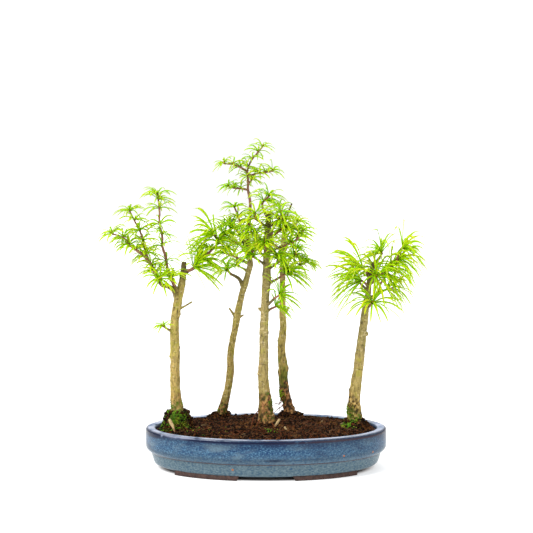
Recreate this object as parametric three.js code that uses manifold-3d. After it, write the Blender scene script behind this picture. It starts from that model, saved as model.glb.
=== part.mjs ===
// Golden larch forest bonsai: five trunks planted together in a shallow oval glazed pot.
// Millimetres, +Z up. The origin is on the ground under the middle of the pot, with +X along the
// pot's length and +Y from its front to its back.

import * as THREE from "three";
import { mergeVertices } from "three/addons/utils/BufferGeometryUtils.js";
import Module from "manifold-3d";

const wasm = await Module();
wasm.setup();

// Clearance between two pieces that touch in the real object.
const GAP = 0.3;

// The pot is an oval. Insets are measured inwards from the oval of its rim.
const POT = {
  halfLength: 175,
  halfDepth: 131,
  facets: 36,
  footHeight: 5,
  stepHeight: 24,
  rimHeight: 58.5,
  floorTop: 13,
  bodyInset: 7.4,
  toeInset: 19,
  toeCorner: 13,
  toeTop: { inset: 11, rise: 6 },
  bandChamfer: { inset: 5.9, drop: 0.9, rise: 5.5 },
  lipCrown: { inset: 6, drop: 4 },
  lipInset: 13.5,
  lipEdgeDrop: 2,
  rebate: { inset: 15, drop: 5 },
  wallInset: 19,
  floorInset: 30,
  floorRise: 9,
};

// Four feet, cut from a ring by a gap at each side of the pot and one at each end.
const FEET = {
  outerInset: 14,
  innerInset: 30,
  rooted: 2,
  sideGapHalf: 36,
  endGapHalf: 70,
  splay: 4,
};

const DRAIN = { reach: 70, radius: 8, facets: 16 };
const SCREEN = { side: 30, thickness: 1, mesh: 10, bar: 3, holes: 2 };

// The peat stands level with the lip's inner edge and rises a little to the middle.
const SOIL = {
  edgeHeight: 53.5,
  crown: 6,
  ripple: 0.9,
  rippleLength: 11,
  shoulder: { inset: 3, drop: 1 },
  moundFoot: 50,
  moundTaper: 0.62,
  moundFacets: 9,
};

// Buried roots: each runs out and down from the foot of its trunk.
const ROOT = { count: 3, fan: 65, rise: 8, reach: 40, drop: 20, girth: [3.4, 1.4], sides: 4 };

// A spur leans upwards, out from its stem and on along it, and the last one mostly on along it.
const SPUR = { rise: 0.7, outward: 0.35, onward: 0.2, tipOnward: 0.45 };

// A needle tapers from its widest place, at the share bend of its length, to its root and its tip.
// Its length is the stem's needle length times length, plus its age times lengthByAge, plus chance.
const NEEDLE = {
  width: 2.5,
  thickness: 0.9,
  bend: 0.4,
  sunk: 0.8,
  stagger: 3,
  droop: 1.35,
  droopPower: 1.4,
  usualFan: [24, 76],
  polarChance: 14,
  goldenAngle: 137.5,
  azimuthChance: 20,
  length: 0.72,
  lengthByAge: 0.25,
  lengthChance: 0.2,
  usual: 5,
  // A rosette of the real tree has three or four times the needles that this model carries.
  every: 3,
};

const TRUNK_SIDES = 8;
const LIMB_SIDES = 4;
const STEM_SIDES = 4;

const UP = new THREE.Vector3(0, 0, 1);

const FINISH = {
  glaze: { color: 0x4f739c, roughness: 0.25, metalness: 0 },
  mesh: { color: 0x1d1f20, roughness: 0.6, metalness: 0 },
  peat: { color: 0x3d2417, roughness: 0.95, metalness: 0 },
  bark: { color: 0xa8935a, roughness: 0.85, metalness: 0 },
  foliage: { color: 0x86c81e, roughness: 0.5, metalness: 0 },
};

// A trunk's points are its centre line and radius: x, y, z, radius. Its mound is the raised peat
// round its foot: radius, top height. Knots are bumps on the bark: x, y, z, radius.
// A limb's route starts on the centre line that carries it. It is bare wood as far as the route's
// point number bare, and from there a leafy stem with spurs at the given shares of its leafy
// length. A limb with no spurs is bare to its end. The branches of a leafy stem belong to it.
// Its fan is the least and the most angle from a spur's axis to its needles, its lean tilts that
// axis, and its droop is how much the needles sag.
const TREES = [
  {
    name: "left",
    mound: [21, 80],
    trunk: [
      [-129, -5, 38, 7], [-129, -5, 60, 10.2], [-129, -5, 74, 9.6], [-129, -5, 86, 8.6],
      [-131, -5, 100, 7.8], [-132, -5, 120, 7.3], [-132, -5, 145, 7.1], [-132, -5, 170, 7],
      [-133, -5, 196, 6.7], [-132, -4, 216, 6.3], [-129, -3, 234, 6.4], [-126, -2, 250, 5.8],
      [-122, -1, 267, 5.2], [-120, 0, 283, 4.5], [-119, 0, 298, 3.6],
    ],
    knots: [[-126, -9, 174, 2.6], [-138, -7, 161, 2.2], [-126, -6, 222, 2.8]],
    limbs: [
      {
        name: "left_low",
        route: [
          [-127, -3, 244], [-134, -6, 257], [-142, -8, 263], [-150, -11, 265], [-157, -14, 276],
          [-165, -16, 293], [-176, -18, 308], [-187, -19, 316], [-196, -20, 323],
          [-204, -21, 333], [-220, -23, 339],
        ],
        girth: [4, 1.1],
        bare: 4,
        spurs: [0.08, 0.2, 0.37, 0.54, 0.67, 0.8, 1],
        needle: 28,
        branches: [
          {
            route: [
              [-166, -16, 295], [-174, -11, 313], [-178, -6, 328], [-182, -2, 341],
              [-190, 2, 356], [-198, 6, 371],
            ],
            girth: [1.8, 1.1],
            spurs: [0.2, 0.42, 0.6, 0.8, 1],
            needle: 27,
          },
          {
            route: [[-158, -14, 279], [-155, -21, 275], [-152, -28, 273]],
            girth: [1.7, 1.3],
            spurs: [1],
            needle: 33,
            lean: [0.1, -0.2, 0],
          },
        ],
      },
      {
        name: "left_tall",
        route: [
          [-126, -2, 248], [-131, -1, 259], [-137, 0, 272], [-143, 2, 287], [-146, 4, 305],
          [-151, 6, 321], [-151, 8, 334], [-155, 9, 354], [-155, 10, 372], [-158, 11, 396],
        ],
        girth: [2.8, 1.1],
        bare: 1,
        spurs: [0.13, 0.28, 0.45, 0.57, 0.68, 0.84, 0.93, 1],
        needle: 30,
      },
      {
        name: "left_reach",
        route: [
          [-120, 0, 282], [-113, -4, 285], [-106, -8, 288], [-97, -4, 296], [-88, 2, 306],
          [-77, 8, 317], [-65, 16, 331], [-61, 20, 339], [-52, 26, 346],
        ],
        girth: [2.8, 1.3],
        bare: 1,
        spurs: [0.29, 0.48, 0.82, 1],
        needle: 43,
        needles: 6,
        lean: [0.2, -0.2, 0.1],
        branches: [
          {
            route: [[-108, -7, 287], [-107, -12, 289], [-105, -17, 290]],
            girth: [1.9, 1.5],
            spurs: [1],
            needle: 53,
            needles: 8,
            lean: [1, -0.15, 0],
            fan: [14, 66],
            droop: 0.8,
          },
          {
            route: [[-67, 14, 328], [-71, 8, 333], [-74, 3, 336]],
            girth: [1.8, 1.5],
            spurs: [1],
            needle: 56,
            needles: 6,
            lean: [-1.4, -0.1, -0.1],
            fan: [12, 60],
            droop: 1.1,
          },
        ],
      },
      {
        name: "left_spur",
        route: [[-133, -5, 196], [-141, -9, 200], [-148, -13, 205]],
        girth: [1.8, 1.4],
        bare: 1,
        spurs: [1],
        needle: 21,
      },
      {
        name: "left_front",
        route: [[-127, -2, 252], [-131, -13, 264], [-136, -22, 275]],
        girth: [1.9, 1.4],
        bare: 1,
        spurs: [1],
        needle: 34,
      },
      {
        name: "left_twig",
        route: [[-131, -3, 227], [-119, -2, 233], [-107, 1, 240]],
        girth: [1.5, 1.2],
      },
    ],
  },
  {
    name: "back_left",
    mound: [16, 64],
    trunk: [
      [-69, 86, 38, 6], [-68, 86, 58, 8], [-66, 86, 68, 7], [-62, 86, 84, 6.2], [-57, 86, 106, 5.5],
      [-54, 86, 130, 5.6], [-54, 86, 152, 5.3], [-51, 86, 173, 5], [-47, 86, 193, 4.9],
      [-44, 86, 212, 5.4], [-40, 85, 231, 4.9], [-36, 85, 247, 4.7], [-32, 85, 261, 4.8],
      [-27, 85, 278, 4.4], [-24, 84, 294, 4.2], [-29, 82, 313, 4], [-33, 80, 326, 3.6],
    ],
    knots: [[-55, 81, 169, 2.2], [-61, 80, 79, 2.6]],
    limbs: [
      {
        name: "back_left_leader",
        route: [
          [-29, 82, 310], [-27, 79, 326], [-29, 78, 341], [-25, 77, 354], [-24, 76, 370],
          [-24, 75, 386], [-27, 75, 403], [-27, 75, 418], [-28, 75, 431], [-22, 74, 447],
          [-5, 74, 468],
        ],
        girth: [3.2, 1.1],
        bare: 2,
        spurs: [0.12, 0.6, 0.71, 0.82, 0.91, 1],
        needle: 24,
        needles: 4,
        branches: [
          {
            route: [[-28, 75, 431], [-39, 70, 437], [-50, 64, 441], [-62, 60, 442]],
            girth: [1.6, 1.1],
            spurs: [0.3, 0.62, 1],
            needle: 24,
            needles: 4,
          },
          {
            route: [[-27, 75, 424], [-15, 68, 427], [-1, 62, 429], [10, 58, 431]],
            girth: [1.6, 1.1],
            spurs: [0.42, 0.7, 1],
            needle: 25,
            needles: 4,
          },
          {
            route: [[-27, 75, 403], [-38, 80, 405], [-48, 86, 406], [-57, 90, 408]],
            girth: [1.6, 1.1],
            spurs: [0.34, 0.68, 1],
            needle: 24,
            needles: 4,
          },
          {
            route: [[-27, 75, 411], [-23, 89, 417], [-20, 100, 420]],
            girth: [1.5, 1.2],
            spurs: [0.6, 1],
            needle: 23,
            needles: 4,
          },
        ],
      },
      {
        name: "back_left_bud",
        route: [[-31, 81, 320], [-36, 66, 345], [-41, 62, 362], [-47, 58, 377]],
        girth: [1.9, 1.2],
        bare: 1,
        spurs: [0.5, 1],
        needle: 26,
      },
      {
        name: "back_left_crown",
        route: [[-32, 81, 322], [-40, 84, 336], [-47, 82, 345], [-56, 78, 350]],
        girth: [1.9, 1.2],
        bare: 1,
        spurs: [0.4, 1],
        needle: 30,
      },
      {
        name: "back_left_west",
        route: [[-29, 82, 313], [-41, 75, 322], [-54, 68, 328]],
        girth: [1.9, 1.3],
        bare: 1,
        spurs: [1],
        needle: 30,
      },
      {
        name: "back_left_twig",
        route: [[-25, 84, 291], [-37, 78, 298], [-50, 73, 304], [-62, 69, 308]],
        girth: [1.8, 1.2],
        bare: 1,
        spurs: [0.45, 1],
        needle: 30,
      },
      {
        name: "back_left_low",
        route: [[-33, 85, 256], [-40, 82, 268], [-46, 79, 273], [-52, 76, 276], [-58, 73, 282]],
        girth: [3.2, 1.6],
        bare: 3,
        spurs: [1],
        needle: 36,
        lean: [-0.3, -0.2, 0],
      },
      {
        name: "back_left_rear",
        route: [[-27, 83, 304], [-33, 97, 312], [-40, 108, 319]],
        girth: [1.9, 1.3],
        bare: 1,
        spurs: [1],
        needle: 26,
      },
      {
        name: "back_left_mid",
        route: [[-27, 85, 280], [-35, 97, 284], [-44, 106, 288]],
        girth: [1.9, 1.3],
        bare: 1,
        spurs: [1],
        needle: 26,
      },
      {
        name: "back_left_east",
        route: [[-27, 83, 306], [-18, 75, 313], [-9, 67, 322]],
        girth: [1.9, 1.3],
        bare: 1,
        spurs: [1],
        needle: 28,
      },
      {
        name: "back_left_stub",
        route: [[-44, 86, 209], [-49, 84, 215], [-56, 82, 225]],
        girth: [2.4, 1.4],
      },
      {
        name: "back_left_bare_twig",
        route: [[-44, 86, 208], [-39, 88, 211], [-34, 90, 214]],
        girth: [1.5, 1.2],
      },
    ],
  },
  {
    name: "centre",
    mound: [24, 64],
    trunk: [
      [2, -8, 36, 8], [2, -8, 54, 14], [1, -8, 66, 12.4], [0, -8, 82, 10.8], [-1, -8, 98, 9.3],
      [-3, -8, 115, 8.2], [-4, -8, 138, 7.4], [-3, -8, 167, 6.6], [-3, -8, 197, 6.4],
      [-2, -8, 224, 5.9], [-1, -8, 249, 5.7], [1, -8, 273, 6.4], [1, -8, 298, 5.4],
      [2, -8, 323, 5], [3, -8, 347, 4.6], [4, -8, 372, 3.8],
    ],
    knots: [[3, -12, 196, 2.4], [-10, -11, 136, 2.4], [-5, -13, 281, 2.8], [8, -12, 270, 2.8]],
    limbs: [
      {
        name: "centre_top",
        route: [[4, -8, 360], [-4, -3, 374], [-5, 1, 383], [4, 5, 393]],
        girth: [1.9, 1.4],
        bare: 1,
        spurs: [0.5, 1],
        needle: 34,
      },
      {
        name: "centre_bud",
        route: [[4, -8, 349], [14, -20, 357], [24, -34, 360]],
        girth: [1.9, 1.4],
        bare: 1,
        spurs: [0.45, 1],
        needle: 32,
      },
      {
        name: "centre_east",
        route: [[3, -8, 330], [14, -15, 339], [28, -22, 348]],
        girth: [1.9, 1.4],
        bare: 1,
        spurs: [0.45, 1],
        needle: 32,
      },
      {
        name: "centre_reach",
        route: [
          [2, -8, 310], [13, -13, 317], [24, -19, 321], [34, -25, 325], [44, -31, 331],
          [53, -36, 344],
        ],
        girth: [2.3, 1.3],
        bare: 2,
        spurs: [0.3, 0.65, 1],
        needle: 27,
      },
      {
        name: "centre_west_high",
        route: [[3, -8, 346], [-6, -19, 354], [-15, -30, 360]],
        girth: [1.9, 1.4],
        bare: 1,
        spurs: [1],
        needle: 32,
      },
      {
        name: "centre_west",
        route: [[2, -8, 324], [-9, -17, 333], [-21, -28, 340]],
        girth: [1.9, 1.4],
        bare: 1,
        spurs: [0.45, 1],
        needle: 32,
      },
      {
        name: "centre_west_low",
        route: [[1, -8, 292], [-9, -17, 300], [-19, -27, 306]],
        girth: [1.9, 1.4],
        bare: 1,
        spurs: [1],
        needle: 32,
      },
      {
        name: "centre_front",
        route: [[1, -8, 306], [0, -24, 314], [-1, -42, 321]],
        girth: [1.9, 1.4],
        bare: 1,
        spurs: [1],
        needle: 28,
        lean: [0, 0.1, 0.3],
      },
      {
        name: "centre_mid",
        route: [[1, -8, 286], [11, -20, 293], [19, -33, 300]],
        girth: [1.9, 1.4],
        bare: 1,
        spurs: [1],
        needle: 30,
      },
      {
        name: "centre_disc",
        route: [[1, -8, 266], [13, -12, 272], [27, -18, 281]],
        girth: [2.2, 1.5],
        bare: 1,
        spurs: [1],
        needle: 44,
        needles: 8,
        lean: [0.5, -0.1, 0],
        droop: 1.1,
      },
      {
        name: "centre_low",
        route: [[-1, -8, 235], [5, -14, 239], [12, -21, 246], [19, -26, 251]],
        girth: [2.2, 1.5],
        bare: 2,
        spurs: [1],
        needle: 42,
        needles: 8,
        lean: [0.6, -0.1, 0.1],
        droop: 1,
      },
      {
        name: "centre_spur",
        route: [[-1, -8, 226], [5, -6, 229], [14, -4, 233]],
        girth: [2.2, 1.6],
        bare: 1,
        spurs: [1],
        needle: 33,
        needles: 6,
        lean: [0.6, -0.2, 0.1],
        droop: 1,
      },
      {
        name: "centre_rear",
        route: [[3, -8, 326], [6, 8, 333], [9, 24, 339]],
        girth: [1.9, 1.4],
        bare: 1,
        spurs: [1],
        needle: 30,
      },
      {
        name: "centre_rear_low",
        route: [[1, -8, 300], [-5, 8, 308], [-12, 22, 316]],
        girth: [1.9, 1.4],
        bare: 1,
        spurs: [1],
        needle: 30,
      },
      {
        name: "centre_stub",
        route: [[-2, -8, 226], [-8, -9, 229], [-11, -10, 232]],
        girth: [1.8, 1.6],
      },
    ],
  },
  {
    name: "back_right",
    mound: [19, 65],
    trunk: [
      [37, 85, 38, 6], [37, 85, 58, 9], [36, 85, 68, 7.9], [32, 85, 82, 7], [29, 85, 98, 7.1],
      [26, 85, 117, 7.4], [26, 85, 133, 7.6], [24, 85, 153, 6.3], [24, 85, 173, 5.9],
      [26, 85, 194, 5.2], [25, 85, 217, 4.9], [25, 85, 240, 4.7], [25, 85, 263, 4.5],
      [25, 85, 288, 4.2], [26, 85, 316, 3.8], [27, 85, 343, 3.3], [27, 85, 367, 2.7],
    ],
    knots: [[17, 82, 175, 2.4], [33, 81, 134, 2.8], [18, 81, 128, 2.6]],
    limbs: [
      {
        name: "back_right_top",
        route: [[27, 85, 357], [23, 89, 368], [20, 92, 378]],
        girth: [1.7, 1.3],
        bare: 1,
        spurs: [1],
        needle: 28,
      },
      {
        name: "back_right_reach",
        route: [[25, 85, 274], [33, 82, 281], [41, 78, 285], [49, 74, 289], [60, 69, 294]],
        girth: [2.1, 1.3],
        bare: 2,
        spurs: [0.45, 1],
        needle: 32,
      },
      {
        name: "back_right_mid",
        route: [[25, 85, 290], [34, 78, 298], [44, 71, 304]],
        girth: [1.8, 1.3],
        bare: 1,
        spurs: [0.45, 1],
        needle: 30,
      },
      {
        name: "back_right_high",
        route: [[26, 85, 328], [35, 81, 338], [45, 77, 346]],
        girth: [1.8, 1.3],
        bare: 1,
        spurs: [0.45, 1],
        needle: 30,
      },
      {
        name: "back_right_west",
        route: [[26, 85, 308], [17, 91, 317], [8, 96, 324]],
        girth: [1.8, 1.3],
        bare: 1,
        spurs: [1],
        needle: 28,
      },
      {
        name: "back_right_rear",
        route: [[26, 85, 298], [28, 97, 308], [32, 107, 315]],
        girth: [1.8, 1.3],
        bare: 1,
        spurs: [1],
        needle: 24,
      },
      {
        name: "back_right_twig",
        route: [[27, 85, 347], [32, 84, 365], [39, 84, 383]],
        girth: [1.5, 1.2],
      },
      {
        name: "back_right_stub",
        route: [[26, 85, 215], [31, 84, 220], [35, 83, 227]],
        girth: [1.8, 1.5],
      },
    ],
  },
  {
    name: "right",
    mound: [23, 65],
    trunk: [
      [130, 18, 36, 8], [130, 18, 54, 12], [130, 18, 66, 10.4], [130, 18, 82, 9.6],
      [130, 18, 98, 8.7], [132, 18, 116, 8.1], [135, 18, 137, 7.4], [138, 18, 162, 6.9],
      [141, 18, 188, 6.4], [144, 18, 213, 5.8], [147, 18, 235, 5.3], [150, 18, 253, 4.4],
      [151, 18, 268, 3.4], [152, 17, 281, 2.7], [156, 16, 292, 2.5], [160, 15, 298, 2.2],
    ],
    knots: [[122, 15, 110, 2.6], [140, 13, 142, 2.2], [140, 12, 208, 2.4]],
    limbs: [
      {
        name: "right_front",
        route: [[148, 18, 231], [151, 5, 234], [154, -10, 238]],
        girth: [2.4, 1.8],
        bare: 1,
        spurs: [1],
        needle: 52,
        needles: 8,
        lean: [0, -0.05, 0],
      },
      {
        name: "right_west_high",
        route: [[151, 17, 275], [147, 10, 281], [142, 3, 288]],
        girth: [2, 1.5],
        bare: 1,
        spurs: [1],
        needle: 70,
        lean: [-1.6, 0, -0.3],
        droop: 1.15,
        fan: [12, 60],
        needles: 8,
      },
      {
        name: "right_west",
        route: [[151, 18, 261], [146, 11, 265], [140, 5, 270]],
        girth: [2, 1.5],
        bare: 1,
        spurs: [1],
        needle: 72,
        lean: [-1.8, -0.2, -0.35],
        droop: 1.05,
        fan: [12, 62],
        needles: 8,
      },
      {
        name: "right_top",
        route: [[155, 16, 290], [163, 23, 299], [171, 29, 309]],
        girth: [2, 1.5],
        bare: 1,
        spurs: [1],
        needle: 52,
        needles: 8,
        lean: [-1.1, 0, 0.1],
        fan: [15, 68],
      },
      {
        name: "right_reach",
        route: [
          [152, 18, 266], [161, 12, 277], [169, 8, 282], [178, 5, 288], [189, 2, 299],
          [197, 0, 318],
        ],
        girth: [3.2, 2],
        bare: 1,
        spurs: [0.15, 0.4, 0.68, 1],
        needle: 55,
        needles: 8,
        lean: [1.2, -0.15, -0.25],
        fan: [15, 70],
        droop: 1.1,
        branches: [
          {
            route: [[163, 11, 278], [161, 3, 278], [158, -5, 277]],
            girth: [1.9, 1.5],
            spurs: [1],
            needle: 48,
            needles: 8,
            lean: [0.6, -0.4, -0.2],
            fan: [15, 78],
          },
        ],
      },
      {
        name: "right_low",
        route: [[149, 18, 243], [157, 22, 246], [166, 28, 250], [176, 33, 255], [188, 39, 258]],
        girth: [2.6, 1.4],
        bare: 1,
        spurs: [0.65, 1],
        needle: 44,
        lean: [0.8, 0, 0],
        fan: [18, 80],
        branches: [
          {
            route: [[167, 28, 250], [168, 27, 263], [173, 24, 272]],
            girth: [1.9, 1.6],
            spurs: [1],
            needle: 32,
          },
        ],
      },
      {
        name: "right_rear",
        route: [[151, 18, 268], [156, 33, 277], [160, 48, 286]],
        girth: [2, 1.5],
        bare: 1,
        spurs: [1],
        needle: 44,
        needles: 8,
      },
      {
        name: "right_rear_west",
        route: [[150, 18, 254], [142, 32, 262], [133, 45, 270]],
        girth: [2, 1.5],
        bare: 1,
        spurs: [1],
        needle: 44,
        needles: 8,
      },
      {
        name: "right_knob",
        route: [[142, 18, 191], [150, 17, 192]],
        girth: [2.8, 2.3],
      },
    ],
  },
];

// Chance gives the same number from 0 to 1 for the same pair of whole numbers.
function chance(index, salt) {
  const wave = Math.sin(index * 12.9898 + salt * 78.233) * 43758.5453;
  return wave - Math.floor(wave);
}

function vector([x, y, z]) {
  return new THREE.Vector3(x, y, z);
}

function solidOf(geometry) {
  geometry.deleteAttribute("normal");
  geometry.deleteAttribute("uv");
  const merged = mergeVertices(geometry, 1e-4);
  const vertProperties = Float32Array.from(merged.getAttribute("position").array);
  const triVerts = Uint32Array.from(merged.index.array);
  return new wasm.Manifold(new wasm.Mesh({ numProp: 3, vertProperties, triVerts }));
}

function joined(solids) {
  return solids.reduce((whole, solid) => whole.add(solid));
}

function meshOf(name, solid, finish) {
  const { vertProperties, triVerts } = solid.getMesh();
  const geometry = new THREE.BufferGeometry();
  geometry.setAttribute("position", new THREE.BufferAttribute(vertProperties, 3));
  geometry.setIndex(new THREE.BufferAttribute(triVerts, 1));
  geometry.computeVertexNormals();
  const mesh = new THREE.Mesh(geometry, new THREE.MeshStandardMaterial(finish));
  mesh.name = name;
  return mesh;
}

// Turns a round lathe into the pot's oval. A lathe radius short of the half length by an inset
// becomes a point that lies the same inset inside the rim's oval.
function ovalLathe(profile) {
  const geometry = new THREE.LatheGeometry(profile, POT.facets).rotateX(Math.PI / 2);
  const position = geometry.getAttribute("position");
  for (let i = 0; i < position.count; i++) {
    const radius = Math.hypot(position.getX(i), position.getY(i));
    if (radius < 1e-3) {
      position.setXY(i, 0, 0);
      continue;
    }
    const inset = POT.halfLength - radius;
    const cosine = position.getX(i) / radius;
    const sine = position.getY(i) / radius;
    const normal = new THREE.Vector2(POT.halfDepth * cosine, POT.halfLength * sine).normalize();
    position.setXY(
      i,
      POT.halfLength * cosine - inset * normal.x,
      POT.halfDepth * sine - inset * normal.y,
    );
  }
  return geometry;
}

// The pot's section, from the middle of its underside round the lip to the middle of its floor.
function potProfile() {
  const edge = POT.halfLength;
  const step = edge - POT.bodyInset;
  const lip = edge - POT.lipInset;
  const section = new THREE.Path();
  section.moveTo(0, POT.footHeight);
  section.lineTo(edge - POT.toeInset, POT.footHeight);
  section.quadraticCurveTo(
    edge - POT.toeCorner,
    POT.footHeight,
    edge - POT.toeTop.inset,
    POT.footHeight + POT.toeTop.rise,
  );
  section.lineTo(step, POT.stepHeight - POT.bandChamfer.drop);
  section.lineTo(edge - POT.bandChamfer.inset, POT.stepHeight);
  section.lineTo(edge, POT.stepHeight + POT.bandChamfer.rise);
  section.lineTo(edge, POT.rimHeight - POT.lipCrown.drop);
  section.quadraticCurveTo(edge, POT.rimHeight, edge - POT.lipCrown.inset, POT.rimHeight);
  section.quadraticCurveTo(lip + 1, POT.rimHeight, lip, POT.rimHeight - POT.lipEdgeDrop);
  section.lineTo(edge - POT.rebate.inset, POT.rimHeight - POT.rebate.drop);
  section.lineTo(edge - POT.wallInset, POT.floorTop + POT.floorRise);
  section.quadraticCurveTo(
    edge - POT.wallInset - 1,
    POT.floorTop,
    edge - POT.floorInset,
    POT.floorTop,
  );
  section.lineTo(0, POT.floorTop);
  return section.getPoints(2);
}

function potFeet() {
  const outer = POT.halfLength - FEET.outerInset;
  const inner = POT.halfLength - FEET.innerInset;
  const rooted = POT.footHeight + FEET.rooted;
  const ring = solidOf(
    ovalLathe([
      new THREE.Vector2(inner, 0),
      new THREE.Vector2(outer, 0),
      new THREE.Vector2(outer, rooted),
      new THREE.Vector2(inner, rooted),
      new THREE.Vector2(inner, 0),
    ]),
  );
  const arch = new THREE.Shape();
  arch.moveTo(-FEET.sideGapHalf - FEET.splay, -1);
  arch.lineTo(FEET.sideGapHalf + FEET.splay, -1);
  arch.lineTo(FEET.sideGapHalf, rooted + 1);
  arch.lineTo(-FEET.sideGapHalf, rooted + 1);
  const sideGap = new THREE.ExtrudeGeometry(arch, { depth: 300, bevelEnabled: false })
    .translate(0, 0, -150)
    .rotateX(Math.PI / 2);
  const endGap = new THREE.BoxGeometry(400, 2 * FEET.endGapHalf, 4 * rooted);
  return ring.subtract(solidOf(sideGap)).subtract(solidOf(endGap));
}

function drainHole(side) {
  const hole = new THREE.CylinderGeometry(DRAIN.radius, DRAIN.radius, 40, DRAIN.facets)
    .rotateX(Math.PI / 2)
    .translate(side * DRAIN.reach, 0, 0);
  return solidOf(hole);
}

function makePot() {
  const body = solidOf(ovalLathe(potProfile()));
  const pot = [-1, 1].reduce(
    (solid, side) => solid.subtract(drainHole(side)),
    body.add(potFeet()),
  );
  return meshOf("pot", pot, FINISH.glaze);
}

// A drain screen: a plastic sheet with a grid of square openings, flat on the pot's floor.
function makeScreen(name, side) {
  const pitch = SCREEN.mesh + SCREEN.bar;
  let sheet = solidOf(new THREE.BoxGeometry(SCREEN.side, SCREEN.side, SCREEN.thickness));
  for (let column = 0; column < SCREEN.holes; column++) {
    for (let row = 0; row < SCREEN.holes; row++) {
      const x = pitch * (column - (SCREEN.holes - 1) / 2);
      const y = pitch * (row - (SCREEN.holes - 1) / 2);
      const hole = new THREE.BoxGeometry(SCREEN.mesh, SCREEN.mesh, 2 * SCREEN.thickness);
      sheet = sheet.subtract(solidOf(hole.translate(x, y, 0)));
    }
  }
  const mesh = meshOf(name, sheet, FINISH.mesh);
  mesh.position.set(side * DRAIN.reach, 0, POT.floorTop + GAP + SCREEN.thickness / 2);
  return mesh;
}

// The rings that a limb is swept through: one at each of its points, square to its direction and
// turned as little as possible from the ring before. A limb cut from a longer one has the longer
// one's direction at that end, its head or its tail.
function limbRings({ points, radii, head, tail }) {
  const rings = [];
  const last = points.length - 1;
  let side = null;
  points.forEach((centre, i) => {
    const onwards = points[Math.min(i + 1, last)].clone().sub(points[Math.max(i - 1, 0)]);
    const along = ((i === 0 && head) || (i === last && tail) || onwards.normalize()).clone();
    const start = side ?? new THREE.Vector3(0.3, 1, 0.1);
    side = start.clone().addScaledVector(along, -start.dot(along)).normalize();
    const face = side.clone().cross(along);
    rings.push({ centre, side, face, halfWidth: radii[i], halfHeight: radii[i] });
  });
  return rings;
}

// Bends a unit cylinder or cone through rings, which its height segments match one to one.
function bend(geometry, rings) {
  const position = geometry.getAttribute("position");
  for (let i = 0; i < position.count; i++) {
    const ring = rings[Math.round((position.getY(i) + 0.5) * (rings.length - 1))];
    const radius = Math.hypot(position.getX(i), position.getZ(i));
    const across = radius > 1e-6 ? position.getX(i) / radius : 0;
    const outward = radius > 1e-6 ? position.getZ(i) / radius : 0;
    const point = ring.centre
      .clone()
      .addScaledVector(ring.side, across * ring.halfWidth)
      .addScaledVector(ring.face, outward * ring.halfHeight);
    position.setXYZ(i, point.x, point.y, point.z);
  }
  return solidOf(geometry);
}

function limbSolid(limb, sides, grown = 0) {
  const rings = limbRings({ ...limb, radii: limb.radii.map((radius) => radius + grown) });
  return bend(new THREE.CylinderGeometry(1, 1, 1, sides, rings.length - 1), rings);
}

// Radii that taper evenly from the first point to the last.
function taper([from, to], count) {
  return Array.from({ length: count }, (_, i) => THREE.MathUtils.lerp(from, to, i / (count - 1)));
}

function trunkLine({ trunk }) {
  return { points: trunk.map(vector), radii: trunk.map((point) => point[3]) };
}

// Roots fan out from the foot of the trunk towards the middle of the pot, where there is room.
function rootRoutes(tree) {
  const foot = vector(tree.trunk[0]).add(new THREE.Vector3(0, 0, ROOT.rise));
  const homeward = Math.atan2(-foot.y, -foot.x);
  return Array.from({ length: ROOT.count }, (_, i) => {
    const heading = homeward + THREE.MathUtils.degToRad(ROOT.fan * (i - (ROOT.count - 1) / 2));
    const out = new THREE.Vector3(Math.cos(heading), Math.sin(heading), 0);
    return [
      foot.clone(),
      foot.clone().addScaledVector(out, ROOT.reach).addScaledVector(UP, -ROOT.drop),
    ];
  });
}

// The trunk and its roots, the same shape that the soil's hole takes when grown by a clearance.
function stumpSolid(tree, grown) {
  const roots = rootRoutes(tree).map((points) =>
    limbSolid({ points, radii: taper(ROOT.girth, points.length) }, ROOT.sides, grown),
  );
  return joined([limbSolid(trunkLine(tree), TRUNK_SIDES, grown), ...roots]);
}

// Splits a limb's route into its bare wood and its leafy stem, which meet end to end.
function splitLimb(limb) {
  const points = limb.route.map(vector);
  const radii = taper(limb.girth, points.length);
  if (!limb.spurs) return { wood: { points, radii } };
  if (limb.bare === undefined) return { stem: { points, radii } };
  const cut = points[limb.bare];
  const along = points[limb.bare + 1].clone().sub(points[limb.bare - 1]).normalize();
  const wood = {
    points: [...points.slice(0, limb.bare), cut.clone().addScaledVector(along, -GAP / 2)],
    radii: radii.slice(0, limb.bare + 1),
    tail: along,
  };
  const stem = {
    points: [cut.clone().addScaledVector(along, GAP / 2), ...points.slice(limb.bare + 1)],
    radii: radii.slice(limb.bare),
    head: along,
  };
  return { wood, stem };
}

function makeTrunk(tree) {
  const wood = tree.limbs.map((limb) => limbSolid(splitLimb(limb).wood, LIMB_SIDES));
  const knots = tree.knots.map(([x, y, z, radius]) =>
    solidOf(new THREE.OctahedronGeometry(radius).translate(x, y, z)),
  );
  const solid = joined([stumpSolid(tree, 0), ...wood, ...knots]);
  return meshOf(`${tree.name}_trunk`, solid, FINISH.bark);
}

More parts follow.
